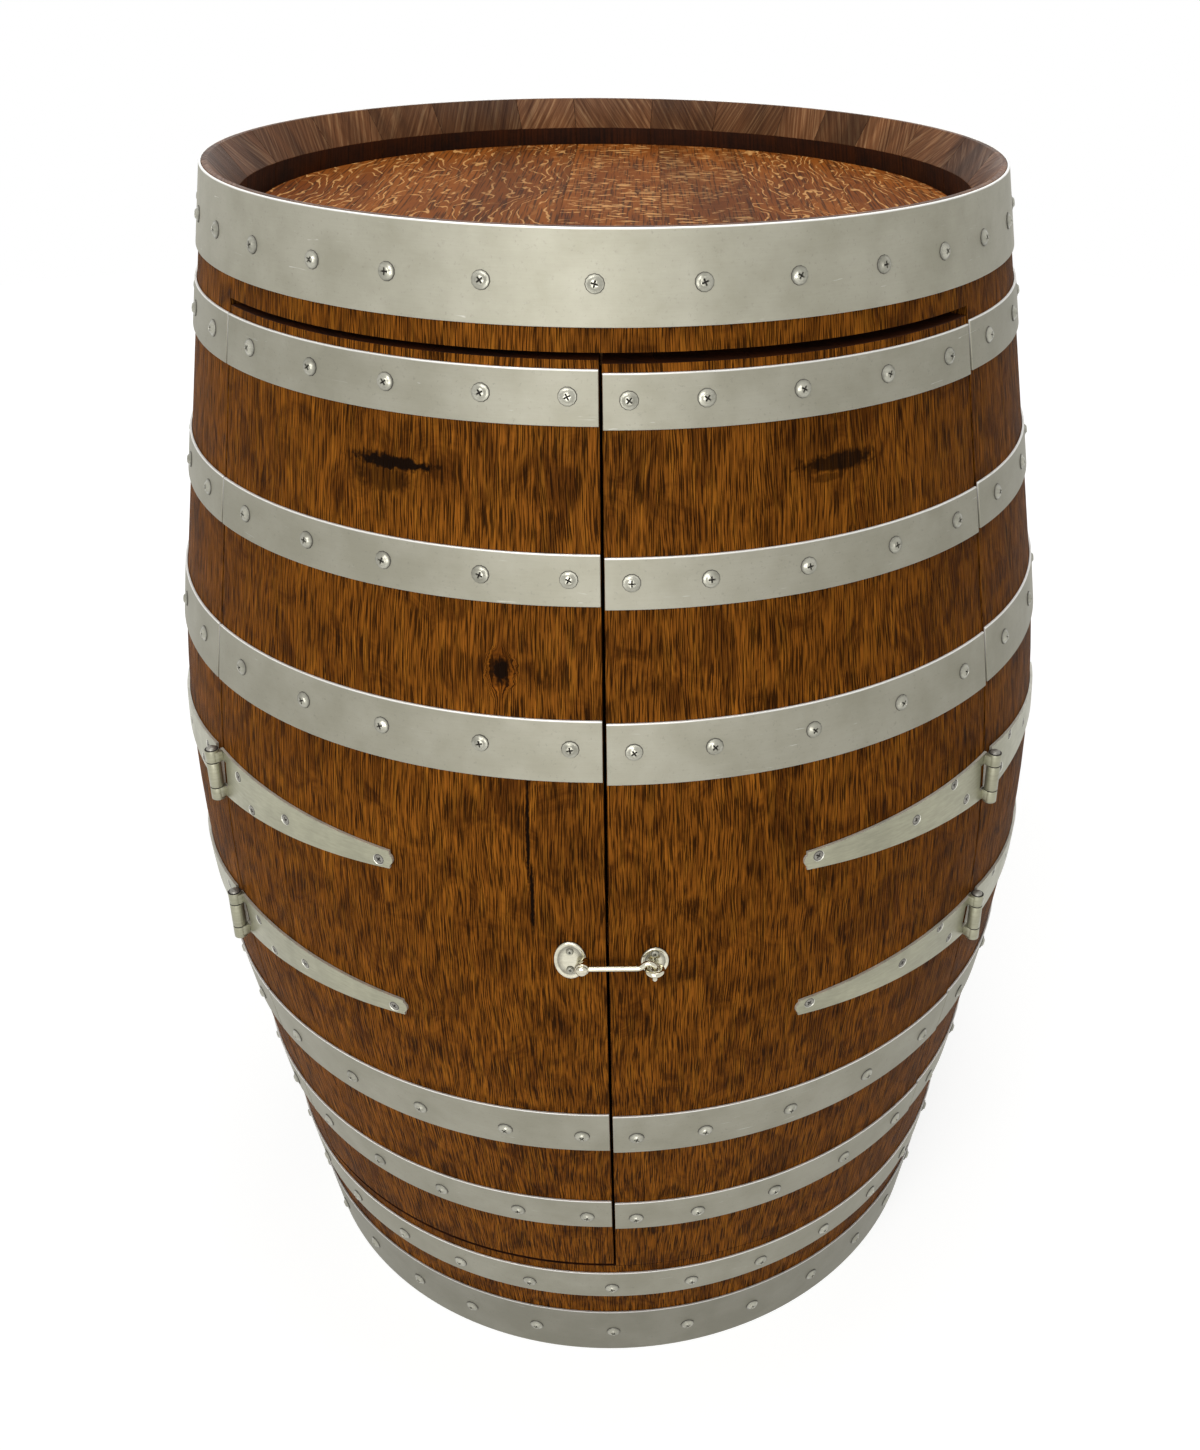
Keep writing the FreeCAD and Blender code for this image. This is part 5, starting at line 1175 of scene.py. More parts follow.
@dataclass
class Heads:
    """Round heads of straight boards that run from front to back."""

    widths: Sequence[float] = (91, 80, 70, 73, 67, 75, 96)
    radius: float = 277.2
    rim_radius: float = 271.0
    bevel: float = 12.0
    tongue_low: float = 7.0
    tongue_high: float = 15.0
    thickness: float = 22.0
    top_height: float = 892.0
    bottom_height: float = 36.0
    edge_width: float = 0.5
    sides: int = 120
    lined: Sequence[int] = (0, 1, 2, 5, 6)
    bottom_number: int = 20

    def board(self, low: float, high: float, number: int) -> Solid:
        """Model one board of a head that lies at height 0.

        Args:
            low: Its left edge.
            high: Its right edge.
            number: Its number from the left.

        Returns:
            The board.
        """
        top = self.thickness
        solid = spun([(0, 0), (self.rim_radius - self.bevel, 0), (self.rim_radius, self.tongue_low),
                      (self.radius, self.tongue_low), (self.radius, self.tongue_high),
                      (self.rim_radius, self.tongue_high), (self.rim_radius - self.bevel, top), (0, top)],
                     self.sides)
        for edge, normal in ((low, -1), (high, 1)):
            if abs(edge) > self.radius - 1:
                continue
            bmesh.ops.bisect_plane(solid, geom=[*solid.verts, *solid.edges, *solid.faces], dist=0.001,
                                   plane_co=(edge, 0, 0), plane_no=(normal, 0, 0), clear_outer=True)
            rim = [side for side in solid.edges if side.is_boundary]
            bmesh.ops.contextual_create(solid, geom=rim)
        bmesh.ops.dissolve_limit(solid, angle_limit=math.radians(1), verts=solid.verts, edges=solid.edges)
        bmesh.ops.recalc_face_normals(solid, faces=solid.faces)
        soften(solid, self.edge_width)
        fix_corners(solid)
        grain = solid.loops.layers.uv.new(GRAIN)
        for face in solid.faces:
            for loop in face.loops:
                point = loop.vert.co
                loop[grain].uv = (number + (point.x + point.z) * MM, point.y * MM)
        tone = random.Random(number + 11).uniform(0.1, 0.9)
        if number % self.bottom_number in self.lined:
            tone += 1.0
        point_values(solid, TONE_AND_PAINTED_LIGHT, lambda point: tone)
        point_values(solid, JOINT, lambda point: max(
            0.0, 1 - min(point.x - low, high - point.x) / self.edge_width))
        return solid

    def build(self, finish: Finish) -> None:
        """Model and hang both heads.

        Args:
            finish: Finish of the boards.
        """
        scale = 2 * self.radius / sum(self.widths)
        for name, height, first in (("top", self.top_height, 0),
                                    ("bottom", self.bottom_height, self.bottom_number)):
            piece = Piece(name + "_head_boards", Body.BARREL, "head_oak", [finish])
            low = -self.radius
            for number, width in enumerate(self.widths, first):
                high = low + width * scale
                piece.take(moved(self.board(low, high, number), Matrix.Translation((0, 0, height))))
                low = high
            piece.place(name + "_head")


# ---- Fasteners ----

class Fastener:
    """Small turned part that is copied to many seats."""

    def __init__(self, solid: Solid) -> None:
        """Keep the pattern that copies are made from.

        Args:
            solid: The part with its seat at height 0 and its axis along Z.
        """
        self.pattern = bpy.data.meshes.new("fastener")
        solid.to_mesh(self.pattern)
        solid.free()

    def at(self, matrix: Matrix) -> Solid:
        """Copy the part.

        Args:
            matrix: Its seat.

        Returns:
            The copy.
        """
        solid = bmesh.new()
        solid.from_mesh(self.pattern)
        return moved(solid, matrix)

    def fill(self, name: str, body: Body, slot: str, finish: Finish, seats: Sequence[Matrix],
             node: str) -> None:
        """Hang one piece that holds a copy at every seat.

        Args:
            name: Name of the piece.
            body: Body that it rides on.
            slot: Its material slot.
            finish: Its finish.
            seats: Where the copies go.
            node: CAD node that it stands for.
        """
        piece = Piece(name, body, slot, [finish])
        for seat in seats:
            piece.take(self.at(seat), TURNED_SMOOTH)
        piece.place(node)


@dataclass(frozen=True)
class CrossRecess:
    """Cross recess of a screw head."""

    length: float = 4.6
    width: float = 1.1
    depth: float = 1.3
    floor_scale: float = 0.7
    # How dark the dirt and painted shade are at the recess's edge and round the foot, and how high up the
    # head the foot's share reaches.
    dirt_and_shade_at_edge: float = 0.75
    dirt_and_shade_at_foot: float = 0.3
    dirt_and_shade_height: float = 0.95

    def corners(self) -> list[Point]:
        """Twelve corners of the cross, from its first arm round."""
        long, short = self.length / 2, self.width / 2
        quarter = [(long, -short), (long, short), (short, short)]
        turned = []
        for turn in range(4):
            sine, cosine = round(math.sin(turn * math.pi / 2)), round(math.cos(turn * math.pi / 2))
            turned += [(x * cosine - y * sine, x * sine + y * cosine) for x, y in quarter]
        return turned

    def sink(self, solid: Solid, cap: bmesh.types.BMFace) -> None:
        """Press the recess into the flat top of a screw with twelve sides.

        Args:
            solid: The screw.
            cap: Its top face.
        """
        height = cap.calc_center_median().z
        bmesh.ops.inset_individual(solid, faces=[cap], thickness=0.1)
        ring = sorted(cap.verts, key=lambda vert: math.atan2(vert.co.y, vert.co.x) % math.tau)
        corners = sorted(self.corners(), key=lambda point: math.atan2(point[1], point[0]) % math.tau)
        for vert, (x, y) in zip(ring, corners):
            vert.co = (x, y, height)
        sunk = bmesh.ops.extrude_discrete_faces(solid, faces=[cap])["faces"][0]
        for vert in sunk.verts:
            vert.co = (vert.co.x * self.floor_scale, vert.co.y * self.floor_scale, height - self.depth)
        # Dirt and painted shade: the recess floor and the foot are darkest, the recess's edge and the low
        # part of the head less so.
        grime = solid.verts.layers.float.new(DIRT_AND_SHADE)
        foot = min(vert.co.z for vert in solid.verts)
        for vert in solid.verts:
            if vert in sunk.verts or vert.co.z < foot + 0.01:
                vert[grime] = 1.0
            elif vert in ring:
                vert[grime] = self.dirt_and_shade_at_edge
            elif vert.co.z < foot + self.dirt_and_shade_height:
                vert[grime] = self.dirt_and_shade_at_foot
        bmesh.ops.triangulate(solid, faces=[sunk])


@dataclass(frozen=True)
class ScrewSet:
    """Profiles of the screws and rivets, drawn from their seats up."""

    sides: int = 12
    recess_turn: float = -12.8
    flange_radius: float = 5.9
    flange_height: float = 0.9
    dome_radius: float = 4.2
    dome_height: float = 1.7
    seat_gap: float = 0.03
    countersink_radius: float = 4.0
    pan_radius: float = 2.6
    pan_height: float = 1.5
    rivet_radius: float = 5.5
    rivet_height: float = 2.2

    def headed(self, profile: Section, recess: CrossRecess) -> Fastener:
        """Screw head with a cross recess in its top.

        Args:
            profile: From the foot of the head up to the edge of its top.
            recess: The recess.

        Returns:
            The fastener.
        """
        solid = spun(profile, self.sides)
        turn = Matrix.Rotation(math.radians(self.recess_turn), 3, "Z")
        bmesh.ops.rotate(solid, verts=solid.verts, cent=(0, 0, 0), matrix=turn)
        cap = max((face for face in solid.faces if len(face.verts) == self.sides),
                  key=lambda face: face.calc_center_median().z)
        recess.sink(solid, cap)
        foot = min((face for face in solid.faces if len(face.verts) == self.sides),
                   key=lambda face: face.calc_center_median().z)
        bmesh.ops.delete(solid, geom=[foot], context="FACES_ONLY")
        return Fastener(solid)

    def hoop_screw(self) -> Fastener:
        """Flanged dome screw that holds a hoop."""
        low = self.seat_gap
        return self.headed([(self.flange_radius, low), (self.flange_radius - 0.5, low + self.flange_height),
                            (self.dome_radius, low + self.flange_height + 0.1),
                            (self.dome_radius * 0.72, low + self.flange_height + self.dome_height * 0.8),
                            (self.dome_radius * 0.58, low + self.flange_height + self.dome_height)],
                           CrossRecess())

    def strap_screw(self) -> Fastener:
        """Countersunk screw of a strap, flush with it."""
        # The countersunk head's rim and foot are darkened fully: dirt and painted shade.
        return self.headed([(self.countersink_radius * 0.6, -1.5), (self.countersink_radius, -0.35),
                            (self.countersink_radius * 0.76, 0.0)],
                           CrossRecess(length=4.2, width=1.2, dirt_and_shade_at_edge=1.0, dirt_and_shade_at_foot=1.0,
                                       dirt_and_shade_height=1.2))

    def plate_screw(self) -> Fastener:
        """Small pan head screw of a latch plate."""
        return self.headed([(self.pan_radius, 0.0), (self.pan_radius, self.pan_height * 0.45),
                            (self.pan_radius * 0.7, self.pan_height)],
                           CrossRecess(length=2.4, width=0.7, depth=0.7))

    def rivet(self) -> Fastener:
        """Domed rivet head."""
        top = self.rivet_height
        return Fastener(spun([(self.rivet_radius, 0.05), (self.rivet_radius * 0.9, top * 0.45),
                              (self.rivet_radius * 0.6, top * 0.85), (0, top)], self.sides))


# ---- Hoops ----

@dataclass(frozen=True)
class Hoop:
    """One steel band. Its foot offset is how far below its foot the bright edge would begin, so the foot
    edge stays darker than the top edge; the bright edge is partly wear, partly a painted highlight.
    """

    name: str
    low: float
    high: float
    screw_rise: float
    is_ring: bool
    # Painted light and shade: above 0 the band is painted lighter, as where light falls on it, below 0
    # darker, as where it faces down.
    tone: float = 0.0
    thickness: float = 1.6
    clearance: float = 0.3
    edge_width: float = 0.4
    foot_shade_offset: float = 0.9
    face_angle: float = 1.5

    @property
    def middle(self) -> float:
        """Height of the band's middle."""
        return (self.low + self.high) / 2

    def slope(self, wall: Wall) -> float:
        """Change of radius with height."""
        return (wall.outside(self.high) - wall.outside(self.low)) / (self.high - self.low)

    def tilt(self, wall: Wall) -> float:
        """Degrees that the band leans up."""
        return -math.degrees(math.atan(self.slope(wall)))

    def inside(self, wall: Wall, height: float) -> float:
        """Radius of the band's inside at a height."""
        return wall.outside(self.low) + self.clearance + self.slope(wall) * (height - self.low)

    def across(self, wall: Wall) -> float:
        """Level thickness of the band."""
        return self.thickness * math.sqrt(1 + self.slope(wall) ** 2)

    def band(self, wall: Wall, first: float, last: float, layer: int = 0, drop: float = 0.0) -> Solid:
        """Model a stretch of the band.

        Args:
            wall: Wall that it lies on.
            first: Bearing where it starts.
            last: Bearing where it ends.
            layer: 1 for the upper layer of a lap.
            drop: How much lower it hangs.

        Returns:
            The band.
        """
        start = self.across(wall) * layer
        stop = start + self.across(wall)
        section = [(self.inside(wall, height) + start, height) for height in (self.high, self.low)]
        section += [(self.inside(wall, height) + stop, height)
                    for height in (self.low, self.middle, self.high)]
        solid = turned_solid(section, first, last, self.face_angle)
        soften(solid, self.edge_width)
        # Distance to the nearer edge, with the foot counted as farther off, so the bright edge and its
        # painted highlight show mainly along the top.
        point_values(solid, RIM, lambda point: max(
            0.0, min(point.z - self.low + self.foot_shade_offset, self.high - point.z)))
        point_values(solid, TONE_AND_PAINTED_LIGHT, lambda point: self.tone)
        if drop:
            bmesh.ops.translate(solid, verts=solid.verts, vec=(0, 0, -drop))
        return solid

    def seat(self, wall: Wall, bearing: float, number: int, drop: float = 0.0) -> Matrix:
        """Seat of one of its screws.

        Args:
            wall: Wall that the band lies on.
            bearing: Middle of a stave.
            number: Number of the screw, which gives its turn.
            drop: How much lower the band hangs.

        Returns:
            Place of the screw.
        """
        height = self.middle + self.screw_rise
        radius = self.inside(wall, height) + self.across(wall)
        return seat_matrix(radius, bearing, height - drop, self.tilt(wall), number * SCREW_TURN)

    def rivet_seats(self, wall: Wall, bearing: float, spacing: float) -> list[Matrix]:
        """Seats of the two rivets of its lap.

        Args:
            wall: Wall that the band lies on.
            bearing: Middle of the lap.
            spacing: Distance between the rivets.

        Returns:
            Places of the rivets.
        """
        radius = self.inside(wall, self.middle) + 2 * self.across(wall)
        half = math.degrees(spacing / wall.bilge_radius) / 2
        return [seat_matrix(radius, bearing + side * half, self.middle, self.tilt(wall), 0)
                for side in (-1, 1)]


@dataclass
class HoopSet:
    """Eight hoops, their laps, rivets and screws."""

    ring: StaveRing
    end_inset: float = 0.3
    lap: float = 46.0
    rivet_spacing: float = 22.0
    first_lap: int = 3
    hoops: Sequence[Hoop] = (
        # The top head hoop is painted lighter and the bottom head hoop darker: painted light from above,
        # painted shade underneath.
        Hoop("top_head_hoop", 895.0, 950.0, -3.0, True, 0.55),
        Hoop("upper_collar_hoop", 838.5, 871.5, 1.0, False),
        Hoop("upper_quarter_hoop", 729.5, 762.0, 0.8, False),
        Hoop("upper_bilge_hoop", 614.5, 656.0, 1.8, False),
        Hoop("lower_bilge_hoop", 285.0, 327.5, -3.8, False),
        Hoop("lower_quarter_hoop", 185.0, 219.0, -3.0, False),
        Hoop("lower_collar_hoop", 84.0, 118.0, -4.0, True),
        Hoop("bottom_head_hoop", 0.5, 58.5, -0.5, True, -0.8),
    )

    def body_bands(self, finish: Finish) -> list[Matrix]:
        """Hang the rings and the rear segments with their laps.

        Args:
            finish: Finish of the bands.

        Returns:
            Seats of the rivets.
        """
        wall = self.ring.wall
        inset = self.ring.angle(self.end_inset)
        laps = len(self.ring.back) - self.first_lap
        rivets = []
        for order, hoop in enumerate(self.hoops):
            bearing = self.ring.joints["back"][self.first_lap + order % laps]
            rivets += hoop.rivet_seats(wall, bearing, self.rivet_spacing)
            node = hoop.name if hoop.is_ring else hoop.name + "_rear"
            piece = Piece(node + "_band", Body.BARREL, "galvanised_hoop", [finish])
            if hoop.is_ring:
                piece.take(hoop.band(wall, 0, 360))
            else:
                first = self.ring.joints["right_side"][0] + inset
                piece.take(hoop.band(wall, first, self.ring.joints["left_side"][-1] - inset))
            half = self.ring.angle(self.lap) / 2
            piece.take(hoop.band(wall, bearing - half, bearing + half, 1))
            piece.place(node)
        return rivets

    def door_bands(self, side: Side, finish: Finish) -> None:
        """Hang the hoop segments of a door.

        Args:
            side: Which door.
            finish: Finish of the bands.
        """
        places = self.ring.door_places(side)
        inset = self.ring.angle(self.end_inset)
        first = min(place.first for place in places) + inset
        last = max(place.last for place in places) - inset
        for hoop in self.hoops:
            if not hoop.is_ring:
                node = "%s_%s" % (side.body.value, hoop.name)
                piece = Piece(node + "_band", side.body, "galvanised_hoop", [finish])
                piece.take(hoop.band(self.ring.wall, first, last, 0, self.ring.drop(side)))
                piece.place(node)

    def build(self, screws: ScrewSet, band: Finish, bright: Finish, worn: Finish) -> None:
        """Model and hang every hoop, rivet and hoop screw.

        Args:
            screws: Profiles of the fasteners.
            band: Finish of the bands.
            bright: Finish of the screws.
            worn: Finish of the rivets.
        """
        wall = self.ring.wall
        seats = []
        for group in FIRST_NUMBERS:
            for place in self.ring.body_places(group):
                seats += [hoop.seat(wall, place.screw, len(seats) + order)
                          for order, hoop in enumerate(self.hoops, 1)]
        for names in (("top_head_hoop",), ("lower_collar_hoop", "bottom_head_hoop")):
            for place in self.ring.front_places():
                for hoop in self.hoops:
                    if hoop.name in names:
                        seats.append(hoop.seat(wall, place.screw, len(seats) + 1))
        rivets = self.body_bands(band)
        screw = screws.hoop_screw()
        screw.fill("hoop_dome_screws", Body.BARREL, "zinc_screw", bright, seats, "hoop_screws")
        screws.rivet().fill("hoop_lap_rivets", Body.BARREL, "steel_rivet", worn, rivets, "hoop_rivets")
        count = len(seats)
        for side in Side:
            self.door_bands(side, band)
            door_seats = []
            for place in self.ring.door_places(side):
                for hoop in self.hoops:
                    if not hoop.is_ring:
                        count += 1
                        door_seats.append(hoop.seat(wall, place.screw, count, self.ring.drop(side)))
            door = side.body.value
            screw.fill(door + "_dome_screws", side.body, "zinc_screw", bright, door_seats,
                       door + "_hoop_screws")


# ---- Hinges ----

@dataclass
class StrapHinges:
    """Four hinges: a strap on the door and a leaf on the barrel, joined by a pin."""

    ring: StaveRing
    offset: float = 64.0
    stand_off: float = 5.6
    knuckle_radius: float = 5.0
    knuckle_height: float = 42.0
    middle_knuckle: float = 21.0
    knuckle_gap: float = 0.25
    pin_radius: float = 2.5
    pin_gap: float = 0.06
    pin_head_radius: float = 3.8
    pin_head_height: float = 1.8
    length: float = 184.0
    root_width: float = 38.0
    tip_width: float = 13.5
    nose_radius: float = 5.0
    nose_rise: float = 2.4
    thickness: float = 2.0
    gap: float = 0.4
    slot: float = 8.5
    web_width: float = 5.0
    edge_width: float = 0.45
    highlight_finish: int = 1
    knuckle_edge: float = 0.5
    curl_edge: float = 0.6
    hole_radius: float = 4.25
    shank_radius: float = 2.2
    slice: float = 7.0
    screws: Sequence[Point] = ((28, 8), (45, -12), (87, -1), (173, -2))

    @property
    def axis_radius(self) -> float:
        """Distance of the hinge axes from the barrel's axis."""
        return self.ring.wall.bilge_radius + self.stand_off

    @property
    def end_knuckle(self) -> float:
        """Height over a hinge's middle where the strap's knuckles begin."""
        return self.middle_knuckle / 2 + self.knuckle_gap

    def bearing(self, side: Side) -> float:
        """Bearing of a door's hinges."""
        return self.ring.door_edge(side) + side.value * self.ring.angle(self.ring.side_kerf) / 2

    def surface(self, height: float, lift: float) -> float:
        """Find the radius of a surface over the underside of the straps.

        Args:
            height: Height over the floor.
            lift: How far it lies over the underside.

        Returns:
            Distance from the barrel's axis.
        """
        wall = self.ring.wall
        arc = wall.arc_radius + self.gap + lift
        return wall.arc_centre + math.sqrt(arc ** 2 - (height - wall.middle) ** 2)

    def outline(self, is_strap: bool) -> list[Point]:
        """Flat outline of a blade, from its hinge axis along to its nose.

        Args:
            is_strap: True for a door strap, with its slot at the middle knuckle.

        Returns:
            (along, up) points.
        """
        root, tip, nose = self.root_width / 2, self.tip_width / 2, self.nose_radius
        centre = self.length - nose
        shoulder = self.length - self.nose_rise
        reach = math.acos((shoulder - centre) / nose)
        arc = [(centre + nose * math.cos(turn), nose * math.sin(turn))
               for turn in (reach * (1 - place / 4) for place in range(9))]
        end = [(shoulder, tip), *arc, (shoulder, -tip)]
        if is_strap:
            knuckle = self.end_knuckle
            return [(0, knuckle), (0, root), *end, (0, -root), (0, -knuckle), (self.slot, -knuckle),
                    (self.slot, knuckle)]
        tongue = self.middle_knuckle / 2
        return [(0, tongue), (self.slot, tongue), (self.slot, root), *end, (self.slot, -root),
                (self.slot, -tongue), (0, -tongue)]

    def blade(self, side: Side, middle: float, is_strap: bool) -> Solid:
        """Model a blade: cut flat with its holes, then bent onto the wall.

        Args:
            side: Which door.
            middle: Height of the hinge's middle.
            is_strap: True for a door strap, False for a frame leaf.

        Returns:
            The blade.
        """
        solid = bmesh.new()
        loop = [solid.verts.new((along, 0, up)) for along, up in self.outline(is_strap)]
        rims = [solid.edges.new(pair) for pair in zip(loop, [*loop[1:], loop[0]])]
        for along, rise in self.screws:
            round_hole = bmesh.ops.create_circle(solid, segments=16, radius=self.hole_radius, matrix=(
                Matrix.Translation((along, 0, rise * side.value)) @ Matrix.Rotation(math.pi / 2, 4, "X")))
            rims += dict.fromkeys(edge for vert in round_hole["verts"] for edge in vert.link_edges)
        bmesh.ops.triangle_fill(solid, use_beauty=True, use_dissolve=False, edges=rims)
        for cut in range(1, int(self.length / self.slice)):
            bmesh.ops.bisect_plane(solid, geom=[*solid.verts, *solid.edges, *solid.faces], dist=0.0001,
                                   plane_co=(cut * self.slice, 0, 0), plane_no=(1, 0, 0))
        back = bmesh.ops.extrude_face_region(solid, geom=list(solid.faces))["geom"]
        inner = {vert for vert in back if isinstance(vert, bmesh.types.BMVert)}
        for vert in inner:
            for along, rise in self.screws:
                off = Vector((vert.co.x - along, vert.co.z - rise * side.value))
                if off.length < self.hole_radius + 0.05:
                    off *= self.shank_radius / off.length
                    vert.co.x, vert.co.z = along + off.x, rise * side.value + off.y
        # Side faces and bevels of the blade take the nearly white finish: a painted highlight.
        for face in solid.faces:
            if 0 < sum(vert in inner for vert in face.verts) < len(face.verts):
                face.material_index = self.highlight_finish
        run = side.value if is_strap else -side.value
        hinge = self.bearing(side)
        radius = self.ring.wall.bilge_radius + self.gap
        for vert in solid.verts:
            height = middle + vert.co.z
            lift = 0.0 if vert in inner else self.thickness
            turn = hinge + run * math.degrees(vert.co.x / radius)
            vert.co = bearing_point(self.surface(height, lift), turn, height)
        bmesh.ops.recalc_face_normals(solid, faces=solid.faces)
        soften(solid, self.edge_width, least=50, finish=self.highlight_finish)
        return solid

    def knuckle(self, side: Side, middle: float, low: float, high: float, is_strap: bool) -> list[Solid]:
        """Model one knuckle and the curl that joins it to its blade.

        Args:
            side: Which door.
            middle: Height of the hinge's middle.
            low: Foot of the knuckle over it.
            high: Top of the knuckle over it.
            is_strap: True for a knuckle of the strap.

        Returns:
            The barrel of the knuckle and its curl.
        """
        hinge = self.bearing(side)
        barrel = spun([(0, low), (self.knuckle_radius, low), (self.knuckle_radius, high), (0, high)], 28)
        soften(barrel, self.knuckle_edge, least=50)
        # Painted shade: the ends of each knuckle, at the thin gaps between knuckles, are darkened.
        point_values(barrel, DIRT_AND_SHADE, lambda point: float(min(point.z - low, high - point.z) < 0.3))
        moved(barrel, Matrix.Translation(bearing_point(self.axis_radius, hinge, middle)))
        root = self.root_width / 2
        low, high = middle + max(low, -root), middle + min(high, root)
        run = side.value if is_strap else -side.value
        web = math.degrees(self.web_width / self.axis_radius)
        ends = sorted((hinge, hinge + run * web))
        inner = self.surface(middle, self.thickness / 2)
        outer = self.axis_radius
        curl = turned_solid([(inner, low), (outer, low), (outer, high), (inner, high)], *ends, web / 4)
        soften(curl, self.curl_edge, least=60)
        return [barrel, curl]

    def pin(self, side: Side, middle: float) -> Solid:
        """Model a pin with domed ends.

        Args:
            side: Which door.
            middle: Height of the hinge's middle.

        Returns:
            The pin.
        """
        end = self.knuckle_height / 2 + self.pin_gap
        crown = [(self.pin_head_radius * wide, end + self.pin_head_height * up)
                 for wide, up in ((1, 0), (0.93, 0.45), (0.62, 0.85), (0, 1))]
        foot = [(radius, -height) for radius, height in reversed(crown)]
        solid = spun([*foot, (self.pin_radius, -end), (self.pin_radius, end), *crown], 20)
        return moved(solid, Matrix.Translation(bearing_point(self.axis_radius, self.bearing(side), middle)))

    def seats(self, side: Side, middle: float, is_strap: bool) -> list[Matrix]:
        """Seats of the screws of a blade.

        Args:
            side: Which door.
            middle: Height of the hinge's middle.
            is_strap: True for a door strap.

        Returns:
            Places of its screws.
        """
        wall = self.ring.wall
        run = side.value if is_strap else -side.value
        arc = wall.arc_radius + self.gap + self.thickness
        found = []
        for number, (along, rise) in enumerate(self.screws, 1):
            height = middle + rise * side.value
            tilt = math.degrees(math.asin((height - wall.middle) / arc))
            turn = self.bearing(side) + run * math.degrees(along / (wall.bilge_radius + self.gap))
            radius = self.surface(height, self.thickness)
            found.append(seat_matrix(radius, turn, height, tilt, number * SCREW_TURN))
        return found

    def build(self, screws: ScrewSet, zinc: Sequence[Finish], worn: Finish) -> None:
        """Model and hang the hinges, their pins and screws.

        Args:
            screws: Profiles of the fasteners.
            zinc: Finishes of the straps and leaves, and the painted highlight of their edges.
            worn: Finish of the screws and pins.
        """
        pins = Piece("hinge_dome_pins", Body.BARREL, "zinc_screw", [worn])
        screw = screws.strap_screw()
        frame_seats: list[Matrix] = []
        half = self.knuckle_height / 2
        middle_half = self.middle_knuckle / 2
        for side in Side:
            hand = side.name.lower()
            door_seats: list[Matrix] = []
            for level, sign in (("upper", 1), ("lower", -1)):
                middle = self.ring.wall.middle + sign * self.offset
                strap = Piece("%s_%s_strap_blade" % (hand, level), side.body, "zinc_strap", zinc)
                strap.take(self.blade(side, middle, True))
                for low, high in ((-half, -self.end_knuckle), (self.end_knuckle, half)):
                    for solid in self.knuckle(side, middle, low, high, True):
                        strap.take(solid, 25)
                strap.place("%s_%s_strap" % (hand, level))
                leaf = Piece("%s_%s_leaf_blade" % (hand, level), Body.BARREL, "zinc_strap", zinc)
                leaf.take(self.blade(side, middle, False))
                for solid in self.knuckle(side, middle, -middle_half, middle_half, False):
                    leaf.take(solid, 25)
                leaf.place("%s_%s_frame_leaf" % (hand, level))
                pins.take(self.pin(side, middle), TURNED_SMOOTH)
                door_seats += self.seats(side, middle, True)
                frame_seats += self.seats(side, middle, False)
            screw.fill(hand + "_strap_flush_screws", side.body, "zinc_screw", worn, door_seats,
                       hand + "_strap_screws")
        pins.place("hinge_pins")
        screw.fill("leaf_flush_screws", Body.BARREL, "zinc_screw", worn, frame_seats, "frame_leaf_screws")


# ---- Latch ----

class Rod:
    """Round rod that is drawn out from one end, stretch by stretch."""

    def __init__(self, radius: float, start: Vector, sides: int = 16) -> None:
        """Start with a closed round end that faces +X.

        Args:
            radius: Radius of the rod.
            start: Middle of the end.
            sides: Number of faces round.
        """
        self.solid = bmesh.new()
        made = bmesh.ops.create_circle(self.solid, cap_ends=True, segments=sides, radius=radius, matrix=(
            Matrix.Translation(start) @ Matrix.Rotation(math.pi / 2, 4, "Y")))
        self.radius = radius
        self.ring = list(dict.fromkeys(edge for vert in made["verts"] for edge in vert.link_edges))

    def straight(self, way: Vector) -> None:
        """Draw the rod out straight.

        Args:
            way: Direction and length.
        """
        geom = bmesh.ops.extrude_edge_only(self.solid, edges=self.ring)["geom"]
        self.ring = [item for item in geom if isinstance(item, bmesh.types.BMEdge)]
        verts = [item for item in geom if isinstance(item, bmesh.types.BMVert)]
        bmesh.ops.translate(self.solid, verts=verts, vec=way)

    def bend(self, centre: Vector, axis: Vector, angle: float, steps: int) -> None:
        """Draw the rod round a bend.

        Args:
            centre: Centre of the bend.
            axis: Axis that it turns about.
            angle: Degrees of the bend.
            steps: Number of faces along it.
        """
        verts = list(dict.fromkeys(vert for edge in self.ring for vert in edge.verts))
        made = bmesh.ops.spin(self.solid, geom=[*self.ring, *verts], cent=centre, axis=axis,
                              angle=math.radians(angle), steps=steps)["geom_last"]
        self.ring = [item for item in made if isinstance(item, bmesh.types.BMEdge)]

    def dome(self, way: Vector) -> Solid:
        """Close the end with a dome.

        Args:
            way: Direction that the rod points in.

        Returns:
            The finished rod.
        """
        for share, scale in ((0.55, 0.84), (0.35, 0.55)):
            self.straight(way * self.radius * share)
            verts = list(dict.fromkeys(vert for edge in self.ring for vert in edge.verts))
            middle = sum((vert.co for vert in verts), Vector()) / len(verts)
            bmesh.ops.scale(self.solid, vec=(scale, scale, scale), verts=verts,
                            space=Matrix.Translation(-middle))
        bmesh.ops.holes_fill(self.solid, edges=self.ring, sides=0)
        bmesh.ops.remove_doubles(self.solid, verts=self.solid.verts, dist=0.001)
        bmesh.ops.recalc_face_normals(self.solid, faces=self.solid.faces)
        return self.solid


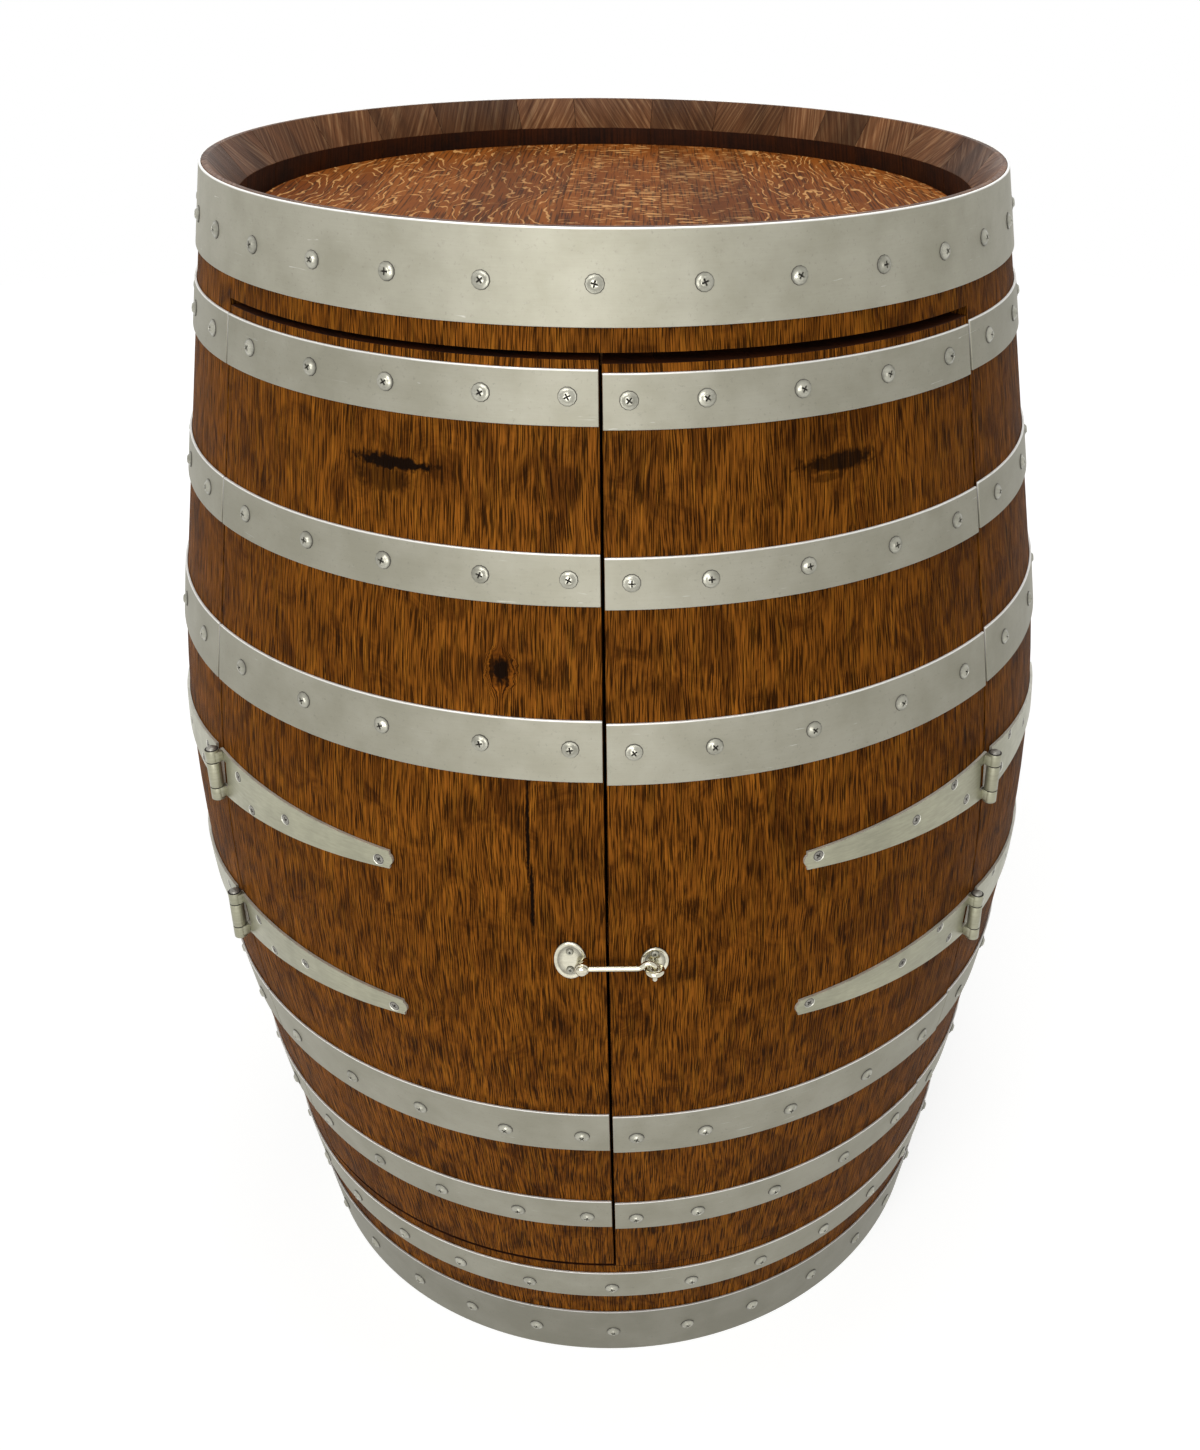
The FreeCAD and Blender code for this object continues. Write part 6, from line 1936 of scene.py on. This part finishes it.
@dataclass
class HookLatch:
    """Hook on the left door that drops into an eye on the right door."""

    ring: StaveRing
    pivot_height: float = 478.0
    plane: float = 9.0
    plate_gap: float = 0.3
    plate_thickness: float = 1.6
    rim_width: float = 2.6
    rim_dirt_and_shade: float = 0.6
    hook_plate_x: float = -25.2
    hook_plate_width: float = 22.0
    hook_plate_height: float = 31.0
    hook_plate_screw: float = 7.6
    pivot_x: float = -17.0
    stud_radius: float = 2.5
    boss_radius: float = 4.0
    boss_edge: float = 0.4
    head_height: float = 2.0
    loop_radius: float = 5.0
    loop_bore: float = 2.6
    loop_thickness: float = 4.4
    rod_radius: float = 2.0
    knee_x: float = 22.0
    knee_bend: float = 6.0
    tip_bend: float = 4.0
    tip_drop: float = 9.0
    eye_x: float = 31.8
    eye_drop: float = 1.8
    eye_radius: float = 5.0
    eye_wire: float = 1.9
    eye_plate_width: float = 19.0
    eye_plate_height: float = 23.0
    eye_plate_screw: float = 6.6

    @property
    def plane_y(self) -> float:
        """Middle plane of the hook."""
        return -(self.ring.wall.bilge_radius + self.plane)

    def plate_matrix(self, x: float, height: float, rise: float = 0.0) -> Matrix:
        """Place of a plate, or of a point on its middle line, with Z out of the wall.

        Args:
            x: Where its middle lies across the front.
            height: Height of its middle.
            rise: Height of the point over the middle.

        Returns:
            The place.
        """
        radius = self.ring.wall.bilge_radius
        bearing = math.degrees(math.asin(x / radius))
        return seat_matrix(radius + self.plate_gap, bearing, height + rise, 0, 0)

    def plate(self, x: float, height: float, wide: float, tall: float) -> Solid:
        """Model an upright oval plate, pressed and dished, with a rolled rim.

        Args:
            x: Where its middle lies across the front.
            height: Height of its middle.
            wide: Its width.
            tall: How tall it is.

        Returns:
            The plate.
        """
        top = self.plate_thickness
        radius = wide / 2
        rim = [(radius - inset, top * share) for inset, share in (
            (0.1, 0.75), (0.6, 1), (1.3, 0.97), (2.0, 0.72), (self.rim_width, 0.62))]
        dish = spun([(0, 0), (radius - 0.3, 0), (radius, 0.4), *rim, (radius * 0.45, top * 0.56),
                     (0, top * 0.55)], 40)
        # Dirt and painted shade: the plate's foot against the door and the crease inside its rolled rim are
        # darkened.
        point_values(dish, DIRT_AND_SHADE, lambda point: self.rim_dirt_and_shade * (
            point.z < 0.5 or abs(math.hypot(point.x, point.y) - radius + self.rim_width) < 0.1))
        moved(dish, self.plate_matrix(x, height))
        stretch = tall / wide
        return moved(dish, Matrix.Translation((0, 0, height * (1 - stretch)))
                     @ Matrix.Diagonal((1, 1, stretch, 1)))

    def stud(self) -> list[Solid]:
        """Model the stud that the hook turns on: a shoulder, a shank and a domed head."""
        start = -self.plane_y - self.ring.wall.bilge_radius - self.plate_gap
        inner = start - self.loop_thickness / 2 - 0.1
        outer = start + self.loop_thickness / 2 + 0.1
        top = outer + self.head_height
        shoulder = spun([(0, 0), (self.boss_radius, 0), (self.boss_radius, inner), (0, inner)], 24)
        shank = spun([(0, 0), (self.stud_radius, 0), (self.stud_radius, outer + 0.2), (0, outer + 0.2)], 20)
        head = spun([(0, outer), (self.boss_radius, outer), (self.boss_radius * 0.97, outer + 0.9),
                     (self.boss_radius * 0.72, top - 0.25), (0, top)], 24)
        foot = Vector((self.pivot_x, -self.ring.wall.bilge_radius - self.plate_gap, self.pivot_height))
        place = Matrix.Translation(foot) @ Matrix.Rotation(math.pi / 2, 4, "X")
        soften(shoulder, self.boss_edge, least=50)
        return [moved(solid, place) for solid in (shoulder, shank, head)]

    def hook(self) -> list[Solid]:
        """Model the hook: a loop on the stud and a bent rod."""
        half = self.loop_thickness / 2
        middle = (self.loop_radius + self.loop_bore) / 2
        thick = (self.loop_radius - self.loop_bore) / 2
        side = [(-1, 0.7), (-0.6, 1), (0.5, 1), (1, 0.6)]
        round_bar = [(x, -y) for x, y in side] + side[::-1] + [(-1, -0.7)]
        loop = spun([(middle + thick * x, half * y) for x, y in round_bar], 32)
        place = Matrix.Translation((self.pivot_x, self.plane_y, self.pivot_height))
        moved(loop, place @ Matrix.Rotation(math.pi / 2, 4, "X"))
        slant = math.sqrt(0.5)
        knee = self.knee_bend * math.tan(math.radians(22.5))
        crest = self.tip_bend * math.tan(math.radians(67.5))
        crest_height = self.pivot_height + self.eye_x - self.knee_x
        start = Vector((self.pivot_x + middle, self.plane_y, self.pivot_height))
        rod = Rod(self.rod_radius, start)
        rod.straight(Vector((self.knee_x - knee - start.x, 0, 0)))
        across = Vector((0, -1, 0))
        knee_centre = Vector((self.knee_x - knee, self.plane_y, self.pivot_height + self.knee_bend))
        rod.bend(knee_centre, across, 45, 6)
        rise = (self.eye_x - self.knee_x) - (knee + crest) * slant
        rod.straight(Vector((rise, 0, rise)))
        tip_centre = Vector((self.eye_x - self.tip_bend, self.plane_y, crest_height - crest))
        rod.bend(tip_centre, across, -135, 12)
        rod.straight(Vector((0, 0, self.pivot_height - self.tip_drop - crest_height + crest)))
        return [loop, rod.dome(Vector((0, 0, -1)))]

    def eye(self) -> list[Solid]:
        """Model the eye that the hook drops into: a level ring on a neck."""
        height = self.pivot_height - self.eye_drop
        outline = [(self.eye_radius + self.eye_wire * math.cos(turn), self.eye_wire * math.sin(turn))
                   for turn in (math.tau * place / 14 for place in range(15))]
        ring = moved(spun(outline, 32), Matrix.Translation((self.eye_x, self.plane_y, height)))
        length = self.plane - self.eye_radius + 1.5
        neck = spun([(0, 0), (self.eye_wire * 1.5, 0), (self.eye_wire, 1.6), (self.eye_wire, length),
                     (0, length)], 16)
        foot = Vector((self.eye_x, self.plane_y + self.eye_radius + length - 1, height))
        return [ring, moved(neck, Matrix.Translation(foot) @ Matrix.Rotation(math.pi / 2, 4, "X"))]

    def build(self, screws: ScrewSet, chrome: Finish, bright: Finish) -> None:
        """Model and hang the latch.

        Args:
            screws: Profiles of the fasteners.
            chrome: Finish of the plates, stud, hook and eye.
            bright: Finish of the screws.
        """
        eye_height = self.pivot_height - self.eye_drop
        left = Piece("hook_dished_plate", Body.LEFT_DOOR, "chrome_latch", [chrome])
        for solid in (self.plate(self.hook_plate_x, self.pivot_height, self.hook_plate_width,
                                 self.hook_plate_height), *self.stud()):
            left.take(solid, 50)
        left.place("hook_plate")
        right = Piece("eye_dished_plate", Body.RIGHT_DOOR, "chrome_latch", [chrome])
        for solid in (self.plate(self.eye_x, eye_height, self.eye_plate_width, self.eye_plate_height),
                      *self.eye()):
            right.take(solid, 50)
        right.place("eye_plate")
        rod = Piece("hook_rod", Body.HOOK, "chrome_latch", [chrome])
        for solid in self.hook():
            rod.take(solid, 50)
        rod.place("hook")
        screw = screws.plate_screw()
        lift = Matrix.Translation((0, 0, self.plate_thickness * 0.6))
        for name, body, x, height, rise, node in (
                ("hook_plate_pan_screws", Body.LEFT_DOOR, self.hook_plate_x, self.pivot_height,
                 self.hook_plate_screw, "hook_plate_screws"),
                ("eye_plate_pan_screws", Body.RIGHT_DOOR, self.eye_x, eye_height,
                 self.eye_plate_screw, "eye_plate_screws")):
            seats = [self.plate_matrix(x, height, sign * rise) @ lift for sign in (1, -1)]
            screw.fill(name, body, "zinc_screw", bright, seats, node)


# ---- Inside ----

@dataclass(frozen=True)
class Interior:
    """Shelf, and the cleats and stop rails that keep their CAD shape."""

    shelf_radius: float = 326.6
    shelf_height: float = 465.0
    shelf_thickness: float = 20.0
    round_over: float = 3.0
    kept: tuple[str, ...] = ("shelf_cleats", "upper_stop_rail", "lower_stop_rail")

    def build(self, finish: Finish, frame: dict[str, Any]) -> None:
        """Model the shelf and finish the rest.

        Args:
            finish: Finish of all of them.
            frame: The loaded frame.
        """
        shelf = spun([(0, 0), (self.shelf_radius, 0), (self.shelf_radius, self.shelf_thickness),
                      (0, self.shelf_thickness)], 160)
        soften(shelf, self.round_over, 4, 50)
        piece = Piece("round_shelf", Body.BARREL, "inside_oak", [finish])
        piece.take(moved(shelf, Matrix.Translation((0, 0, self.shelf_height))), 30)
        piece.place("shelf")
        for node in self.kept:
            kept = frame["nodes"][node]
            for slot in kept.material_slots:
                slot.material = finish
            log.info("%s: kept", node)


# ---- Studio ----

@dataclass(frozen=True)
class Lamp:
    """Soft rectangular lamp that points at the cabinet."""

    name: str
    place: tuple[float, float, float]
    target: tuple[float, float, float]
    width: float
    height: float
    power: float


@dataclass(frozen=True)
class Studio:
    """Floor, white surroundings, soft lamps and the camera."""

    eye: tuple[float, float, float] = (0.0271, -1.1287, 1.1182)
    pitch: float = -27.1786
    yaw: float = 2.1659
    roll: float = -0.8926
    lens: float = 36.03
    shift: tuple[float, float] = (-0.0663, -0.0591)
    floor_radius: float = 4.0
    world_strength: float = 0.2
    lamps: tuple[Lamp, ...] = (
        Lamp("front_lamp", (-0.25, -2.4, 0.8), (0.0, 0.0, 0.6), 1.3, 1.0, 20.0),
        Lamp("key_lamp", (-0.7, -2.1, 2.2), (0.0, 0.0, 0.6), 1.2, 1.2, 24.0),
        Lamp("top_lamp", (0.1, 0.2, 2.8), (0.0, 0.0, 0.9), 1.4, 1.2, 22.0),
    )

    def floor(self) -> None:
        """Lay the floor."""
        mesh = bmesh.new()
        bmesh.ops.create_circle(mesh, cap_ends=True, segments=96, radius=self.floor_radius)
        data = bpy.data.meshes.new("floor")
        mesh.to_mesh(data)
        mesh.free()
        data.materials.append(StudioFloor().material())
        floor = bpy.data.objects.new("floor", data)
        bpy.context.scene.collection.objects.link(floor)

    def surroundings(self) -> None:
        """Light from all round; the camera and mirrors see plain white there."""
        world = bpy.data.worlds.new("studio")
        bpy.context.scene.world = world
        sheet = Sheet(world.name, world)
        camera, mirror, glass = (sheet.add("LightPath", None, None, ray) for ray in (
            "Is Camera Ray", "Is Glossy Ray", "Is Transmission Ray"))
        beyond = sheet.add("Math", MOST, {0: mirror, 1: glass})
        seen = sheet.add("Math", MOST, {0: camera, 1: beyond})
        strength = sheet.add("MapRange", None, span(seen, 0.0, 1.0, self.world_strength, 1.0))
        light = sheet.add("Background", None, {"Color": WHITE, "Strength": strength})
        sheet.add("OutputWorld", None, {"Surface": light})

    def light(self) -> None:
        """Hang the lamps."""
        for lamp in self.lamps:
            data = bpy.data.lights.new(lamp.name, "AREA")
            data.shape = "RECTANGLE"
            data.size = lamp.width
            data.size_y = lamp.height
            data.energy = lamp.power
            made = bpy.data.objects.new(lamp.name, data)
            made.location = lamp.place
            made.visible_camera = False
            way = Vector(lamp.target) - Vector(lamp.place)
            made.rotation_euler = way.to_track_quat("-Z", "Y").to_euler()
            bpy.context.scene.collection.objects.link(made)

    def camera(self) -> None:
        """Set the camera."""
        pitch, yaw, roll = (math.radians(angle) for angle in (self.pitch, self.yaw, self.roll))
        flat = math.cos(pitch)
        forward = Vector((math.sin(yaw) * flat, math.cos(yaw) * flat, math.sin(pitch)))
        level = Vector((math.cos(yaw), -math.sin(yaw), 0))
        down = forward.cross(level)
        right = math.cos(roll) * level + math.sin(roll) * down
        up = math.sin(roll) * level - math.cos(roll) * down
        data = bpy.data.cameras.new("camera")
        data.lens = self.lens
        data.shift_x, data.shift_y = self.shift
        data.clip_end = 100
        camera = bpy.data.objects.new("camera", data)
        turn = Matrix((right, up, -forward)).transposed()
        camera.matrix_world = Matrix.Translation(self.eye) @ turn.to_4x4()
        bpy.context.scene.collection.objects.link(camera)
        bpy.context.scene.camera = camera

    def build(self) -> None:
        """Set up the studio."""
        bpy.context.scene.view_settings.view_transform = "Standard"
        self.floor()
        self.surroundings()
        self.light()
        self.camera()


# ---- Making ----


def main() -> None:
    """Build every sub-assembly and the studio."""
    logging.basicConfig(level=logging.INFO, format="%(name)s %(message)s")
    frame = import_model()
    ring = StaveRing(Wall())
    waxed = WaxedOak().material(ring.grain_places())
    ring.build([waxed, ChimeOak().material(), ToastedOakAndEndShade().material()])
    Heads().build(HeadOak().material())
    screws = ScrewSet()
    bright = BRIGHT_ZINC.material()
    worn = WORN_STEEL.material()
    HoopSet(ring).build(screws, GalvanisedSteel().material(), bright, worn)
    StrapHinges(ring).build(screws, [SATIN_ZINC.material(), HIGHLIT_EDGE_ZINC.material()], worn)
    HookLatch(ring).build(screws, CHROME.material(), bright)
    Interior().build(PlainOak().material(), frame)
    Studio().build()


if __name__ == "__main__":
    main()
